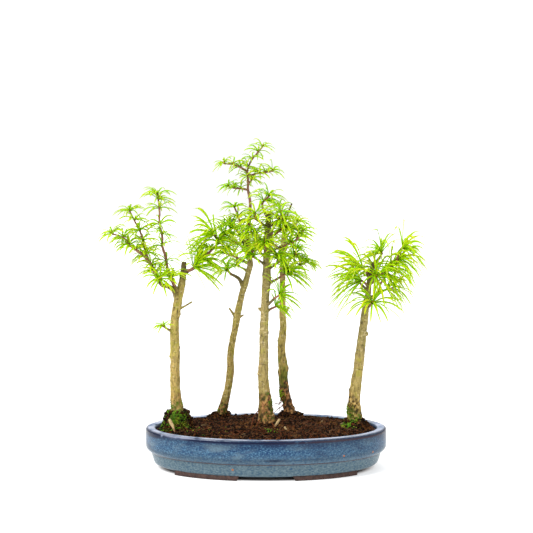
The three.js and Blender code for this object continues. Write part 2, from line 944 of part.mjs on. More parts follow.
// The peat fills the pot to just under its lip. It has a mound round the foot of each trunk, a
// pocket over each drain screen, and a plain hole for each trunk with its roots.
function makeSoil() {
  const wall = POT.halfLength - POT.wallInset - GAP;
  const rim = POT.halfLength - POT.rebate.inset - GAP;
  const section = new THREE.Path();
  section.moveTo(0, POT.floorTop + GAP);
  section.lineTo(POT.halfLength - POT.floorInset, POT.floorTop + GAP);
  section.quadraticCurveTo(wall - 1, POT.floorTop + GAP, wall, POT.floorTop + POT.floorRise);
  section.lineTo(rim - GAP, SOIL.edgeHeight - SOIL.shoulder.drop);
  section.lineTo(rim - SOIL.shoulder.inset, SOIL.edgeHeight);
  const profile = section.getPoints(2);
  for (const share of [0.7, 0.35, 0]) {
    const height = SOIL.edgeHeight + SOIL.crown * (1 - share * share);
    profile.push(new THREE.Vector2(share * rim, height));
  }
  const geometry = ovalLathe(profile);
  const position = geometry.getAttribute("position");
  for (let i = 0; i < position.count; i++) {
    if (position.getZ(i) <= SOIL.edgeHeight) continue;
    const wave =
      Math.sin(position.getX(i) / SOIL.rippleLength) *
      Math.cos(position.getY(i) / SOIL.rippleLength);
    position.setZ(i, position.getZ(i) + SOIL.ripple * wave);
  }
  const mounds = TREES.map(({ trunk: [, [x, y]], mound: [radius, top] }) => {
    const rise = top - SOIL.moundFoot;
    const crest = SOIL.moundTaper * radius;
    const mound = new THREE.CylinderGeometry(crest, radius, rise, SOIL.moundFacets);
    return solidOf(mound.rotateX(Math.PI / 2).translate(x, y, SOIL.moundFoot + rise / 2));
  });
  const pockets = [-1, 1].map((side) => {
    const width = SCREEN.side + 2 * GAP;
    const height = 2 * (SCREEN.thickness + 2 * GAP);
    const pocket = new THREE.BoxGeometry(width, width, height);
    return solidOf(pocket.translate(side * DRAIN.reach, 0, POT.floorTop));
  });
  const stumps = TREES.map((tree) => stumpSolid(tree, GAP));
  const soil = [...pockets, ...stumps].reduce(
    (solid, cut) => solid.subtract(cut),
    joined([solidOf(geometry), ...mounds]),
  );
  return meshOf("soil", soil, FINISH.peat);
}

// The straight stretches that needles keep clear of, each with the name of the piece it is in.
class Thicket {
  constructor() {
    this.stretches = [];
  }

  add(owner, { points, radii }) {
    for (let i = 1; i < points.length; i++) {
      const line = new THREE.Line3(points[i - 1], points[i]);
      const radius = Math.max(radii[i - 1], radii[i]);
      const middle = line.getCenter(new THREE.Vector3());
      this.stretches.push({ owner, line, radius, middle, half: line.distance() / 2 });
    }
  }

  clears(owner, points, radius) {
    for (let i = 1; i < points.length; i++) {
      const line = new THREE.Line3(points[i - 1], points[i]);
      const middle = line.getCenter(new THREE.Vector3());
      const half = line.distance() / 2;
      for (const other of this.stretches) {
        if (other.owner === owner) continue;
        const room = other.radius + radius + GAP;
        if (other.middle.distanceTo(middle) > other.half + half + room) continue;
        if (line.distanceSqToLine3(other.line) < room * room) return false;
      }
    }
    return true;
  }
}

// A point of a stem at a share of its length, with the stem's direction there.
function stemPoint(points, share) {
  const lengths = points.slice(1).map((point, i) => point.distanceTo(points[i]));
  let left = share * lengths.reduce((sum, length) => sum + length, 0);
  let i = 0;
  while (i < lengths.length - 1 && left > lengths[i]) {
    left -= lengths[i];
    i += 1;
  }
  const along = points[i + 1].clone().sub(points[i]).normalize();
  return { centre: points[i].clone().addScaledVector(along, left), along };
}

// The way a spur faces: round the stem by the golden angle from the spur before, and upwards.
// The last spur looks on along the stem.
function spurAxis(along, order, atTip, lean) {
  const level = along.clone().cross(UP);
  const side = level.lengthSq() > 1e-4 ? level.normalize() : new THREE.Vector3(1, 0, 0);
  const over = side.clone().cross(along);
  const turn = THREE.MathUtils.degToRad(NEEDLE.goldenAngle * order);
  const axis = new THREE.Vector3().addScaledVector(UP, SPUR.rise).add(lean);
  if (atTip) return axis.addScaledVector(along, SPUR.tipOnward).normalize();
  axis.addScaledVector(along, SPUR.onward);
  axis.addScaledVector(side, SPUR.outward * Math.cos(turn));
  axis.addScaledVector(over, SPUR.outward * Math.sin(turn));
  return axis.normalize();
}

// A needle's root, its bend and its tip: it leaves the spur straight and droops from the bend on.
function needlePoints(root, outward, length, droop) {
  const points = [root];
  const stretches = [
    { middle: NEEDLE.bend / 2, part: NEEDLE.bend },
    { middle: (1 + NEEDLE.bend) / 2, part: 1 - NEEDLE.bend },
  ];
  for (const { middle, part } of stretches) {
    const sag = droop * Math.pow(middle, NEEDLE.droopPower);
    const way = outward.clone().addScaledVector(UP, -sag);
    points.push(points.at(-1).clone().addScaledVector(way.normalize(), length * part));
  }
  return points;
}

// A three-sided needle, pointed at both ends, with its flat face towards the spur's axis and its
// keel underneath. A sphere of three by two facets has just its five points.
function needleSolid([root, bend, tip], axis) {
  const along = tip.clone().sub(root).normalize();
  const side = axis.clone().cross(along).normalize();
  const keel = side.clone().cross(along);
  const geometry = new THREE.SphereGeometry(1, 3, 2);
  const position = geometry.getAttribute("position");
  for (let i = 0; i < position.count; i++) {
    const height = Math.round(position.getY(i));
    const point = { "-1": root, 0: bend, 1: tip }[height].clone();
    if (height === 0) {
      point.addScaledVector(side, (position.getX(i) * NEEDLE.width) / Math.sqrt(3));
      point.addScaledVector(keel, (position.getZ(i) * NEEDLE.thickness) / 1.5);
    }
    position.setXYZ(i, point.x, point.y, point.z);
  }
  return solidOf(geometry);
}

// A rosette of needles spread round its spur by the golden angle, the outer ones the longest. A
// needle that would cross another piece is turned a little, or shortened, or left out.
function rosette(owner, stem, share, order, thicket, number) {
  const { centre, along } = stemPoint(stem.points, share);
  const axis = spurAxis(along, order, share === 1, stem.lean);
  const side = axis.clone().cross(new THREE.Vector3(0.2, 0.9, 0.4)).normalize();
  const over = axis.clone().cross(side);
  const solids = [];
  for (let j = 0; j < stem.needles; j++) {
    const i = NEEDLE.every * j + 1;
    const age = (i + 0.5) / (NEEDLE.every * stem.needles);
    const polar = THREE.MathUtils.degToRad(
      THREE.MathUtils.lerp(...stem.fan, Math.sqrt(age)) +
        NEEDLE.polarChance * (chance(i, number) - 0.5),
    );
    const swerve = NEEDLE.azimuthChance * (chance(i + 50, number) - 0.5);
    const azimuth = NEEDLE.goldenAngle * i + swerve;
    const luck = NEEDLE.lengthChance * chance(i + 100, number);
    const full = stem.needle * (NEEDLE.length + NEEDLE.lengthByAge * age + luck);
    const slide = NEEDLE.stagger * (chance(i + 150, number) - 0.5);
    const back = share === 1 ? NEEDLE.stagger / 2 : 0;
    const foot = centre.clone().addScaledVector(along, slide - back);
    const points = clearNeedle(full, (length, turned) => {
      const around = THREE.MathUtils.degToRad(azimuth + turned);
      const outward = axis.clone().multiplyScalar(Math.cos(polar));
      outward.addScaledVector(side, Math.sin(polar) * Math.cos(around));
      outward.addScaledVector(over, Math.sin(polar) * Math.sin(around));
      const root = foot.clone().addScaledVector(outward, -NEEDLE.sunk);
      const tried = needlePoints(root, outward, length, stem.droop);
      return thicket.clears(owner, tried, NEEDLE.width / 2) ? tried : null;
    });
    if (!points) continue;
    thicket.add(owner, { points, radii: points.map(() => NEEDLE.width / 2) });
    solids.push(needleSolid(points, axis));
  }
  return solids;
}

function clearNeedle(full, attempt) {
  for (const shortened of [1, 0.8, 0.6]) {
    for (const turned of [0, 14, -14, 28, -28, 42, -42]) {
      const points = attempt(full * shortened, turned);
      if (points) return points;
    }
  }
  return null;
}

// All leafy stems: the stem of each limb, with its branches fused to it.
function leafyStems() {
  return TREES.flatMap((tree) => tree.limbs)
    .filter((limb) => limb.spurs)
    .map((limb) => {
      const parts = [limb, ...(limb.branches ?? [])].map((part) => ({
        ...splitLimb(part).stem,
        spurs: part.spurs,
        needle: part.needle ?? limb.needle,
        needles: part.needles ?? limb.needles ?? NEEDLE.usual,
        lean: vector(part.lean ?? [0, 0, 0]),
        fan: part.fan ?? NEEDLE.usualFan,
        droop: part.droop ?? NEEDLE.droop,
      }));
      return { name: limb.name, parts };
    });
}

function fillThicket(stems) {
  const thicket = new Thicket();
  for (const tree of TREES) {
    thicket.add(tree.name, trunkLine(tree));
    for (const limb of tree.limbs) {
      const { wood } = splitLimb(limb);
      if (wood) thicket.add(tree.name, wood);
    }
  }
  for (const { name, parts } of stems) {
    for (const part of parts) thicket.add(name, part);
  }
  return thicket;
}

function makeFoliage() {
  const stems = leafyStems();
  const thicket = fillThicket(stems);
  let number = 0;
  return stems.map(({ name, parts }) => {
    const cores = parts.map((part) => limbSolid(part, STEM_SIDES));
    const needles = parts.flatMap((stem) =>
      stem.spurs.flatMap((share, order) => {
        number += 1;
        return rosette(name, stem, share, order, thicket, number);
      }),
    );
    return meshOf(name, joined([...cores, ...needles]), FINISH.foliage);
  });
}

const bonsai = new THREE.Group();
bonsai.add(makePot());
bonsai.add(makeScreen("left_drain_screen", -1));
bonsai.add(makeScreen("right_drain_screen", 1));
bonsai.add(makeSoil());
for (const tree of TREES) bonsai.add(makeTrunk(tree));
for (const stem of makeFoliage()) bonsai.add(stem);

export default bonsai;
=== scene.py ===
"""Golden larch forest bonsai: five trunks with soft needles, planted in a shallow oval glazed pot.

Sizes and places are in millimetres, and MM turns them into metres where a mesh is made. The
origin is on the ground under the middle of the pot, +X along its length, +Y from its front to its
back, +Z up. Routes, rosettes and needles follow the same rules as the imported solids.
"""

import logging
import math
from collections.abc import Callable
from dataclasses import dataclass, field
from enum import Enum
from functools import cached_property

import bpy
import numpy as np
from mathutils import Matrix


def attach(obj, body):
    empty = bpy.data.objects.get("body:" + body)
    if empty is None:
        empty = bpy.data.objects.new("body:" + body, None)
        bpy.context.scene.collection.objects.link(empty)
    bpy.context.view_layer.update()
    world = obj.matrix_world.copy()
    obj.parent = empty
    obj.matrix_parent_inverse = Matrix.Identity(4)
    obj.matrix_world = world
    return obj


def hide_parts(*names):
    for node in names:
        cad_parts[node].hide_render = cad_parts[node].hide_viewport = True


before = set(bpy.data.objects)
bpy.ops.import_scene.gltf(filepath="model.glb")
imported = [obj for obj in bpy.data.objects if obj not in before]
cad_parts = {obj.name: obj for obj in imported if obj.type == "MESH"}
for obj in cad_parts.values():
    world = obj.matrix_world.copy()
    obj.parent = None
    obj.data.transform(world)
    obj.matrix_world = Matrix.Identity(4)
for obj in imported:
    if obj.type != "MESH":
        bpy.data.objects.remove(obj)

Array = np.ndarray
Material = bpy.types.Material
Piece = bpy.types.Object
Socket = bpy.types.NodeSocket
Pair = tuple[float, float]
Triple = tuple[float, float, float]

LOG = logging.getLogger("bonsai")
MM = 0.001
UP = np.array((0.0, 0.0, 1.0))
GOLDEN_ANGLE = math.radians(137.5)


class Slot(Enum):
    """The record's material slots, one of which place() is given with each piece."""

    GLAZE = "glaze"
    PEAT = "peat"
    BARK = "bark"
    FOLIAGE = "foliage"


@dataclass(frozen=True)
class Limb:
    """A limb's route from its trunk, in millimetres, bare wood as far as the point numbered bare.

    Spurs are shares of the leafy length, needle is a needle's usual length, needles is how many
    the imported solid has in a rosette, dense how many real ones stand for each, shoots how many
    short side shoots it bears, lean tilts the rosettes, fan is how far from their axis the needles
    set off, in degrees, and droop how much they sag. A limb with no spurs is all wood.
    """

    route: tuple[Triple, ...]
    girth: Pair
    name: str = ""
    bare: int | None = None
    spurs: tuple[float, ...] = ()
    needle: float = 0
    needles: int = 5
    dense: int = 4
    shoots: int = 0
    lean: Triple = (0, 0, 0)
    fan: Pair = (24, 76)
    droop: float = 1.35
    branches: tuple["Limb", ...] = ()


@dataclass(frozen=True)
class Tree:
    """A tree: its peat mound (radius, top), trunk line and knots (x, y, z, radius), and limbs.

    Depth is how much painted shade, a deeper green, its needles have, and yellow how yellow some are.
    The bark of its foot is rough up to rough_top, weathered makes it greyer, and crust is how much dark
    olive growth it bears between two heights.
    """

    name: str
    mound: Pair
    trunk: tuple[tuple[float, float, float, float], ...]
    knots: tuple[tuple[float, float, float, float], ...]
    limbs: tuple[Limb, ...]
    depth: float = 0.1
    yellow: float = 0.45
    rough_top: float = 100
    weathered: float = 0.0
    crust: Triple = (60, 92, 0.5)


LEFT_LIMBS = (
    Limb(
        name="left_low", girth=(4, 1.1), bare=4, needle=28, spurs=(0.08, 0.2, 0.37, 0.54, 0.67, 0.8, 1),
        route=(
            (-127, -3, 244), (-134, -6, 257), (-142, -8, 263), (-150, -11, 265), (-157, -14, 276),
            (-165, -16, 293), (-176, -18, 308), (-187, -19, 316), (-196, -20, 323), (-204, -21, 333),
            (-220, -23, 339),
        ),
        branches=(
            Limb(
                girth=(1.8, 1.1), needle=27, spurs=(0.2, 0.42, 0.6, 0.8, 1),
                route=(
                    (-166, -16, 295), (-174, -11, 313), (-178, -6, 328), (-182, -2, 341),
                    (-190, 2, 356), (-198, 6, 371),
                ),
            ),
            Limb(
                girth=(1.7, 1.3), needle=33, lean=(0.1, -0.2, 0), spurs=(1,),
                route=((-158, -14, 279), (-155, -21, 275), (-152, -28, 273)),
            ),
        ),
    ),
    Limb(
        name="left_tall", girth=(2.8, 1.1), bare=1, needle=30, dense=3,
        spurs=(0.13, 0.28, 0.45, 0.57, 0.68, 0.84, 0.93, 1),
        route=(
            (-126, -2, 248), (-131, -1, 259), (-137, 0, 272), (-143, 2, 287), (-146, 4, 305),
            (-151, 6, 321), (-151, 8, 334), (-155, 9, 354), (-155, 10, 372), (-158, 11, 396),
        ),
    ),
    Limb(
        name="left_reach", girth=(2.8, 1.3), bare=1, needle=43, needles=6, shoots=1,
        lean=(0.2, -0.2, 0.1), spurs=(0.29, 0.48, 0.82, 1),
        route=(
            (-120, 0, 282), (-113, -4, 285), (-106, -8, 288), (-97, -4, 296), (-88, 2, 306),
            (-77, 8, 317), (-65, 16, 331), (-61, 20, 339), (-52, 26, 346),
        ),
        branches=(
            Limb(
                girth=(1.9, 1.5), needle=53, needles=8, lean=(1, -0.15, 0), fan=(14, 66), droop=0.8,
                spurs=(1,),
                route=((-108, -7, 287), (-107, -12, 289), (-105, -17, 290)),
            ),
            Limb(
                girth=(1.8, 1.5), needle=56, needles=6, lean=(-1.4, -0.1, -0.1), fan=(12, 60),
                droop=1.1, spurs=(1,),
                route=((-67, 14, 328), (-71, 8, 333), (-74, 3, 336)),
            ),
        ),
    ),
    Limb(
        name="left_spur", girth=(1.8, 1.4), bare=1, needle=21, spurs=(1,),
        route=((-133, -5, 196), (-141, -9, 200), (-148, -13, 205)),
    ),
    Limb(
        name="left_front", girth=(1.9, 1.4), bare=1, needle=34, spurs=(1,),
        route=((-127, -2, 252), (-131, -13, 264), (-136, -22, 275)),
    ),
    Limb(
        name="left_twig", girth=(1.5, 1.2),
        route=((-131, -3, 227), (-119, -2, 233), (-107, 1, 240)),
    ),
)

BACK_LEFT_LIMBS = (
    Limb(
        name="back_left_leader", girth=(3.2, 1.1), bare=2, needle=24, needles=4, dense=3,
        spurs=(0.12, 0.6, 0.71, 0.82, 0.91, 1),
        route=(
            (-29, 82, 310), (-27, 79, 326), (-29, 78, 341), (-25, 77, 354), (-24, 76, 370),
            (-24, 75, 386), (-27, 75, 403), (-27, 75, 418), (-28, 75, 431), (-22, 74, 447),
            (-5, 74, 468),
        ),
        branches=(
            Limb(
                girth=(1.6, 1.1), needle=24, needles=4, dense=3, spurs=(0.3, 0.62, 1),
                route=((-28, 75, 431), (-39, 70, 437), (-50, 64, 441), (-62, 60, 442)),
            ),
            Limb(
                girth=(1.6, 1.1), needle=25, needles=4, dense=3, spurs=(0.42, 0.7, 1),
                route=((-27, 75, 424), (-15, 68, 427), (-1, 62, 429), (10, 58, 431)),
            ),
            Limb(
                girth=(1.6, 1.1), needle=24, needles=4, dense=3, spurs=(0.34, 0.68, 1),
                route=((-27, 75, 403), (-38, 80, 405), (-48, 86, 406), (-57, 90, 408)),
            ),
            Limb(
                girth=(1.5, 1.2), needle=23, needles=4, dense=3, spurs=(0.6, 1),
                route=((-27, 75, 411), (-23, 89, 417), (-20, 100, 420)),
            ),
        ),
    ),
    Limb(
        name="back_left_bud", girth=(1.9, 1.2), bare=1, needle=26, dense=3, spurs=(0.5, 1),
        route=((-31, 81, 320), (-36, 66, 345), (-41, 62, 362), (-47, 58, 377)),
    ),
    Limb(
        name="back_left_crown", girth=(1.9, 1.2), bare=1, needle=30, dense=3, shoots=1, spurs=(0.4, 1),
        route=((-32, 81, 322), (-40, 84, 336), (-47, 82, 345), (-56, 78, 350)),
    ),
    Limb(
        name="back_left_west", girth=(1.9, 1.3), bare=1, needle=30, dense=3, shoots=1, spurs=(1,),
        route=((-29, 82, 313), (-41, 75, 322), (-54, 68, 328)),
    ),
    Limb(
        name="back_left_twig", girth=(1.8, 1.2), bare=1, needle=30, dense=3, shoots=1, spurs=(0.45, 1),
        route=((-25, 84, 291), (-37, 78, 298), (-50, 73, 304), (-62, 69, 308)),
    ),
    Limb(
        name="back_left_low", girth=(3.2, 1.6), bare=3, needle=36, lean=(-0.3, -0.2, 0), spurs=(1,),
        route=((-33, 85, 256), (-40, 82, 268), (-46, 79, 273), (-52, 76, 276), (-58, 73, 282)),
    ),
    Limb(
        name="back_left_rear", girth=(1.9, 1.3), bare=1, needle=26, spurs=(1,),
        route=((-27, 83, 304), (-33, 97, 312), (-40, 108, 319)),
    ),
    Limb(
        name="back_left_mid", girth=(1.9, 1.3), bare=1, needle=26, dense=3, shoots=1, spurs=(1,),
        route=((-27, 85, 280), (-35, 97, 284), (-44, 106, 288)),
    ),
    Limb(
        name="back_left_east", girth=(1.9, 1.3), bare=1, needle=28, dense=3, shoots=1, spurs=(1,),
        route=((-27, 83, 306), (-18, 75, 313), (-9, 67, 322)),
    ),
    Limb(
        name="back_left_stub", girth=(2.4, 1.4),
        route=((-44, 86, 209), (-49, 84, 215), (-56, 82, 225)),
    ),
    Limb(
        name="back_left_bare_twig", girth=(1.5, 1.2),
        route=((-44, 86, 208), (-39, 88, 211), (-34, 90, 214)),
    ),
)

CENTRE_LIMBS = (
    Limb(
        name="centre_top", girth=(1.9, 1.4), bare=1, needle=34, spurs=(0.5, 1),
        route=((4, -8, 360), (-4, -3, 374), (-5, 1, 383), (4, 5, 393)),
    ),
    Limb(
        name="centre_bud", girth=(1.9, 1.4), bare=1, needle=32, dense=3, shoots=1, spurs=(0.45, 1),
        route=((4, -8, 349), (14, -20, 357), (24, -34, 360)),
    ),
    Limb(
        name="centre_east", girth=(1.9, 1.4), bare=1, needle=32, dense=3, shoots=1, spurs=(0.45, 1),
        route=((3, -8, 330), (14, -15, 339), (28, -22, 348)),
    ),
    Limb(
        name="centre_reach", girth=(2.3, 1.3), bare=2, needle=27, dense=3, shoots=1,
        spurs=(0.3, 0.65, 1),
        route=(
            (2, -8, 310), (13, -13, 317), (24, -19, 321), (34, -25, 325), (44, -31, 331),
            (53, -36, 344),
        ),
    ),
    Limb(
        name="centre_west_high", girth=(1.9, 1.4), bare=1, needle=32, dense=3, shoots=1, spurs=(1,),
        route=((3, -8, 346), (-6, -19, 354), (-15, -30, 360)),
    ),
    Limb(
        name="centre_west", girth=(1.9, 1.4), bare=1, needle=32, dense=3, shoots=1, spurs=(0.45, 1),
        route=((2, -8, 324), (-9, -17, 333), (-21, -28, 340)),
    ),
    Limb(
        name="centre_west_low", girth=(1.9, 1.4), bare=1, needle=32, shoots=1, spurs=(1,),
        route=((1, -8, 292), (-9, -17, 300), (-19, -27, 306)),
    ),
    Limb(
        name="centre_front", girth=(1.9, 1.4), bare=1, needle=28, shoots=1, lean=(0, 0.1, 0.3),
        spurs=(1,),
        route=((1, -8, 306), (0, -24, 314), (-1, -42, 321)),
    ),
    Limb(
        name="centre_mid", girth=(1.9, 1.4), bare=1, needle=30, dense=3, shoots=2, spurs=(1,),
        route=((1, -8, 286), (11, -20, 293), (19, -33, 300)),
    ),
    Limb(
        name="centre_disc", girth=(2.2, 1.5), bare=1, needle=44, needles=8, shoots=1,
        lean=(0.5, -0.1, 0), droop=1.1, spurs=(1,),
        route=((1, -8, 266), (13, -12, 272), (27, -18, 281)),
    ),
    Limb(
        name="centre_low", girth=(2.2, 1.5), bare=2, needle=42, needles=8, dense=3,
        lean=(0.6, -0.1, 0.1), droop=1, spurs=(1,),
        route=((-1, -8, 235), (5, -14, 239), (12, -21, 246), (19, -26, 251)),
    ),
    Limb(
        name="centre_spur", girth=(2.2, 1.6), bare=1, needle=33, needles=6, lean=(0.6, -0.2, 0.1),
        droop=1, spurs=(1,),
        route=((-1, -8, 226), (5, -6, 229), (14, -4, 233)),
    ),
    Limb(
        name="centre_rear", girth=(1.9, 1.4), bare=1, needle=30, dense=3, shoots=1, spurs=(1,),
        route=((3, -8, 326), (6, 8, 333), (9, 24, 339)),
    ),
    Limb(
        name="centre_rear_low", girth=(1.9, 1.4), bare=1, needle=30, shoots=1, spurs=(1,),
        route=((1, -8, 300), (-5, 8, 308), (-12, 22, 316)),
    ),
    Limb(
        name="centre_stub", girth=(1.8, 1.6),
        route=((-2, -8, 226), (-8, -9, 229), (-11, -10, 232)),
    ),
)

BACK_RIGHT_LIMBS = (
    Limb(
        name="back_right_top", girth=(1.7, 1.3), bare=1, needle=28, dense=3, spurs=(1,),
        route=((27, 85, 357), (23, 89, 368), (20, 92, 378)),
    ),
    Limb(
        name="back_right_reach", girth=(2.1, 1.3), bare=2, needle=32, dense=3, shoots=1,
        spurs=(0.45, 1),
        route=((25, 85, 274), (33, 82, 281), (41, 78, 285), (49, 74, 289), (60, 69, 294)),
    ),
    Limb(
        name="back_right_mid", girth=(1.8, 1.3), bare=1, needle=30, dense=3, shoots=1, spurs=(0.45, 1),
        route=((25, 85, 290), (34, 78, 298), (44, 71, 304)),
    ),
    Limb(
        name="back_right_high", girth=(1.8, 1.3), bare=1, needle=30, dense=3, shoots=1, spurs=(0.45, 1),
        route=((26, 85, 328), (35, 81, 338), (45, 77, 346)),
    ),
    Limb(
        name="back_right_west", girth=(1.8, 1.3), bare=1, needle=28, dense=3, shoots=1, spurs=(1,),
        route=((26, 85, 308), (17, 91, 317), (8, 96, 324)),
    ),
    Limb(
        name="back_right_rear", girth=(1.8, 1.3), bare=1, needle=24, dense=3, shoots=1, spurs=(1,),
        route=((26, 85, 298), (28, 97, 308), (32, 107, 315)),
    ),
    Limb(
        name="back_right_twig", girth=(1.5, 1.2),
        route=((27, 85, 347), (32, 84, 365), (39, 84, 383)),
    ),
    Limb(
        name="back_right_stub", girth=(1.8, 1.5),
        route=((26, 85, 215), (31, 84, 220), (35, 83, 227)),
    ),
)

RIGHT_LIMBS = (
    Limb(
        name="right_front", girth=(2.4, 1.8), bare=1, needle=52, needles=8, lean=(0, -0.05, 0),
        spurs=(1,),
        route=((148, 18, 231), (151, 5, 234), (154, -10, 238)),
    ),
    Limb(
        name="right_west_high", girth=(2, 1.5), bare=1, needle=70, needles=8, dense=3,
        lean=(-1.6, 0, -0.3), fan=(12, 60), droop=1.15, spurs=(1,),
        route=((151, 17, 275), (147, 10, 281), (142, 3, 288)),
    ),
    Limb(
        name="right_west", girth=(2, 1.5), bare=1, needle=72, needles=8, dense=3,
        lean=(-1.8, -0.2, -0.35), fan=(12, 62), droop=1.05, spurs=(1,),
        route=((151, 18, 261), (146, 11, 265), (140, 5, 270)),
    ),
    Limb(
        name="right_top", girth=(2, 1.5), bare=1, needle=52, needles=8, dense=3, lean=(-1.1, 0, 0.1),
        fan=(15, 68), spurs=(1,),
        route=((155, 16, 290), (163, 23, 299), (171, 29, 309)),
    ),
    Limb(
        name="right_reach", girth=(3.2, 2), bare=1, needle=55, needles=8, dense=3,
        lean=(1.35, -0.15, -0.3), fan=(15, 70), droop=1.4, spurs=(0.15, 0.4, 0.68, 1),
        route=(
            (152, 18, 266), (161, 12, 277), (169, 8, 282), (178, 5, 288), (189, 2, 299), (197, 0, 318),
        ),
        branches=(
            Limb(
                girth=(1.9, 1.5), needle=48, needles=8, dense=3, lean=(0.6, -0.4, -0.2), fan=(15, 78),
                spurs=(1,),
                route=((163, 11, 278), (161, 3, 278), (158, -5, 277)),
            ),
        ),
    ),
    Limb(
        name="right_low", girth=(2.6, 1.4), bare=1, needle=44, lean=(0.8, 0, 0), fan=(18, 80),
        spurs=(0.65, 1),
        route=((149, 18, 243), (157, 22, 246), (166, 28, 250), (176, 33, 255), (188, 39, 258)),
        branches=(
            Limb(
                girth=(1.9, 1.6), needle=32, spurs=(1,),
                route=((167, 28, 250), (168, 27, 263), (173, 24, 272)),
            ),
        ),
    ),
    Limb(
        name="right_rear", girth=(2, 1.5), bare=1, needle=44, needles=8, dense=3, spurs=(1,),
        route=((151, 18, 268), (156, 33, 277), (160, 48, 286)),
    ),
    Limb(
        name="right_rear_west", girth=(2, 1.5), bare=1, needle=44, needles=8, dense=3, spurs=(1,),
        route=((150, 18, 254), (142, 32, 262), (133, 45, 270)),
    ),
    Limb(
        name="right_knob", girth=(2.8, 2.3),
        route=((142, 18, 191), (150, 17, 192)),
    ),
)

TREES = (
    Tree(
        name="left", mound=(21, 80), weathered=-0.4, rough_top=92, depth=0.04, crust=(78, 98, 0.25),
        yellow=0.2, limbs=LEFT_LIMBS,
        trunk=(
            (-129, -5, 38, 7), (-129, -5, 60, 10.2), (-129, -5, 74, 9.6), (-129, -5, 86, 8.6),
            (-131, -5, 100, 7.8), (-132, -5, 120, 7.3), (-132, -5, 145, 7.1), (-132, -5, 170, 7),
            (-133, -5, 196, 6.7), (-132, -4, 216, 6.3), (-129, -3, 234, 6.4), (-126, -2, 250, 5.8),
            (-122, -1, 267, 5.2), (-120, 0, 283, 4.5), (-119, 0, 298, 3.6),
        ),
        knots=((-126, -9, 174, 2.6), (-138, -7, 161, 2.2), (-126, -6, 222, 2.8)),
    ),
    Tree(
        name="back_left", mound=(16, 64), rough_top=98, depth=0.1, yellow=0.3, limbs=BACK_LEFT_LIMBS,
        trunk=(
            (-69, 86, 38, 6), (-68, 86, 58, 8), (-66, 86, 68, 7), (-62, 86, 84, 6.2),
            (-57, 86, 106, 5.5), (-54, 86, 130, 5.6), (-54, 86, 152, 5.3), (-51, 86, 173, 5),
            (-47, 86, 193, 4.9), (-44, 86, 212, 5.4), (-40, 85, 231, 4.9), (-36, 85, 247, 4.7),
            (-32, 85, 261, 4.8), (-27, 85, 278, 4.4), (-24, 84, 294, 4.2), (-29, 82, 313, 4),
            (-33, 80, 326, 3.6),
        ),
        knots=((-55, 81, 169, 2.2), (-61, 80, 79, 2.6)),
    ),
    Tree(
        name="centre", mound=(24, 64), weathered=0.52, rough_top=118, depth=0.14, crust=(70, 112, 0.4),
        yellow=0.45, limbs=CENTRE_LIMBS,
        trunk=(
            (2, -8, 36, 8), (2, -8, 54, 14), (1, -8, 66, 12.4), (0, -8, 82, 10.8), (-1, -8, 98, 9.3),
            (-3, -8, 115, 8.2), (-4, -8, 138, 7.4), (-3, -8, 167, 6.6), (-3, -8, 197, 6.4),
            (-2, -8, 224, 5.9), (-1, -8, 249, 5.7), (1, -8, 273, 6.4), (1, -8, 298, 5.4),
            (2, -8, 323, 5), (3, -8, 347, 4.6), (4, -8, 372, 3.8),
        ),
        knots=((3, -12, 196, 2.4), (-10, -11, 136, 2.4), (-5, -13, 281, 2.8), (8, -12, 270, 2.8)),
    ),
    Tree(
        name="back_right", mound=(19, 65), rough_top=140, depth=0.12, crust=(108, 154, 0.8),
        limbs=BACK_RIGHT_LIMBS,
        trunk=(
            (37, 85, 38, 6), (37, 85, 58, 9), (36, 85, 68, 7.9), (32, 85, 82, 7), (29, 85, 98, 7.1),
            (26, 85, 117, 7.4), (26, 85, 133, 7.6), (24, 85, 153, 6.3), (24, 85, 173, 5.9),
            (26, 85, 194, 5.2), (25, 85, 217, 4.9), (25, 85, 240, 4.7), (25, 85, 263, 4.5),
            (25, 85, 288, 4.2), (26, 85, 316, 3.8), (27, 85, 343, 3.3), (27, 85, 367, 2.7),
        ),
        knots=((17, 82, 175, 2.4), (33, 81, 134, 2.8), (18, 81, 128, 2.6)),
    ),
    Tree(
        name="right", mound=(23, 65), weathered=0.4, rough_top=112, depth=0.0, crust=(58, 88, 0.35),
        yellow=0.5, limbs=RIGHT_LIMBS,
        trunk=(
            (130, 18, 36, 8), (130, 18, 54, 12), (130, 18, 66, 10.4), (130, 18, 82, 9.6),
            (130, 18, 98, 8.7), (132, 18, 116, 8.1), (135, 18, 137, 7.4), (138, 18, 162, 6.9),
            (141, 18, 188, 6.4), (144, 18, 213, 5.8), (147, 18, 235, 5.3), (150, 18, 253, 4.4),
            (151, 18, 268, 3.4), (152, 17, 281, 2.7), (156, 16, 292, 2.5), (160, 15, 298, 2.2),
        ),
        knots=((122, 15, 110, 2.6), (140, 13, 142, 2.2), (140, 12, 208, 2.4)),
    ),
)


# Each cushion on the peat has its name and then what MossPatch takes after the soil.
CUSHIONS = (
    ("left_moss", (-131, -18), (13, 7), 1500, -0.25, 2.4, 1),
    ("left_low_moss", (-124, -24), (20, 14), 260, 0.3, 2.4, 13),
    ("left_back_moss", (-142, 0), (9, 16), 600, 0.0, 2.4, 6),
    ("right_moss", (119, -1), (12, 14), 760, 0.0, 2.4, 2),
    ("centre_moss", (3, -50), (10, 12), 110, 0.1, 2.4, 4),
    ("scattered_moss", (-88, -30), (34, 34), 200, 0.35, 1.8, 5),
)
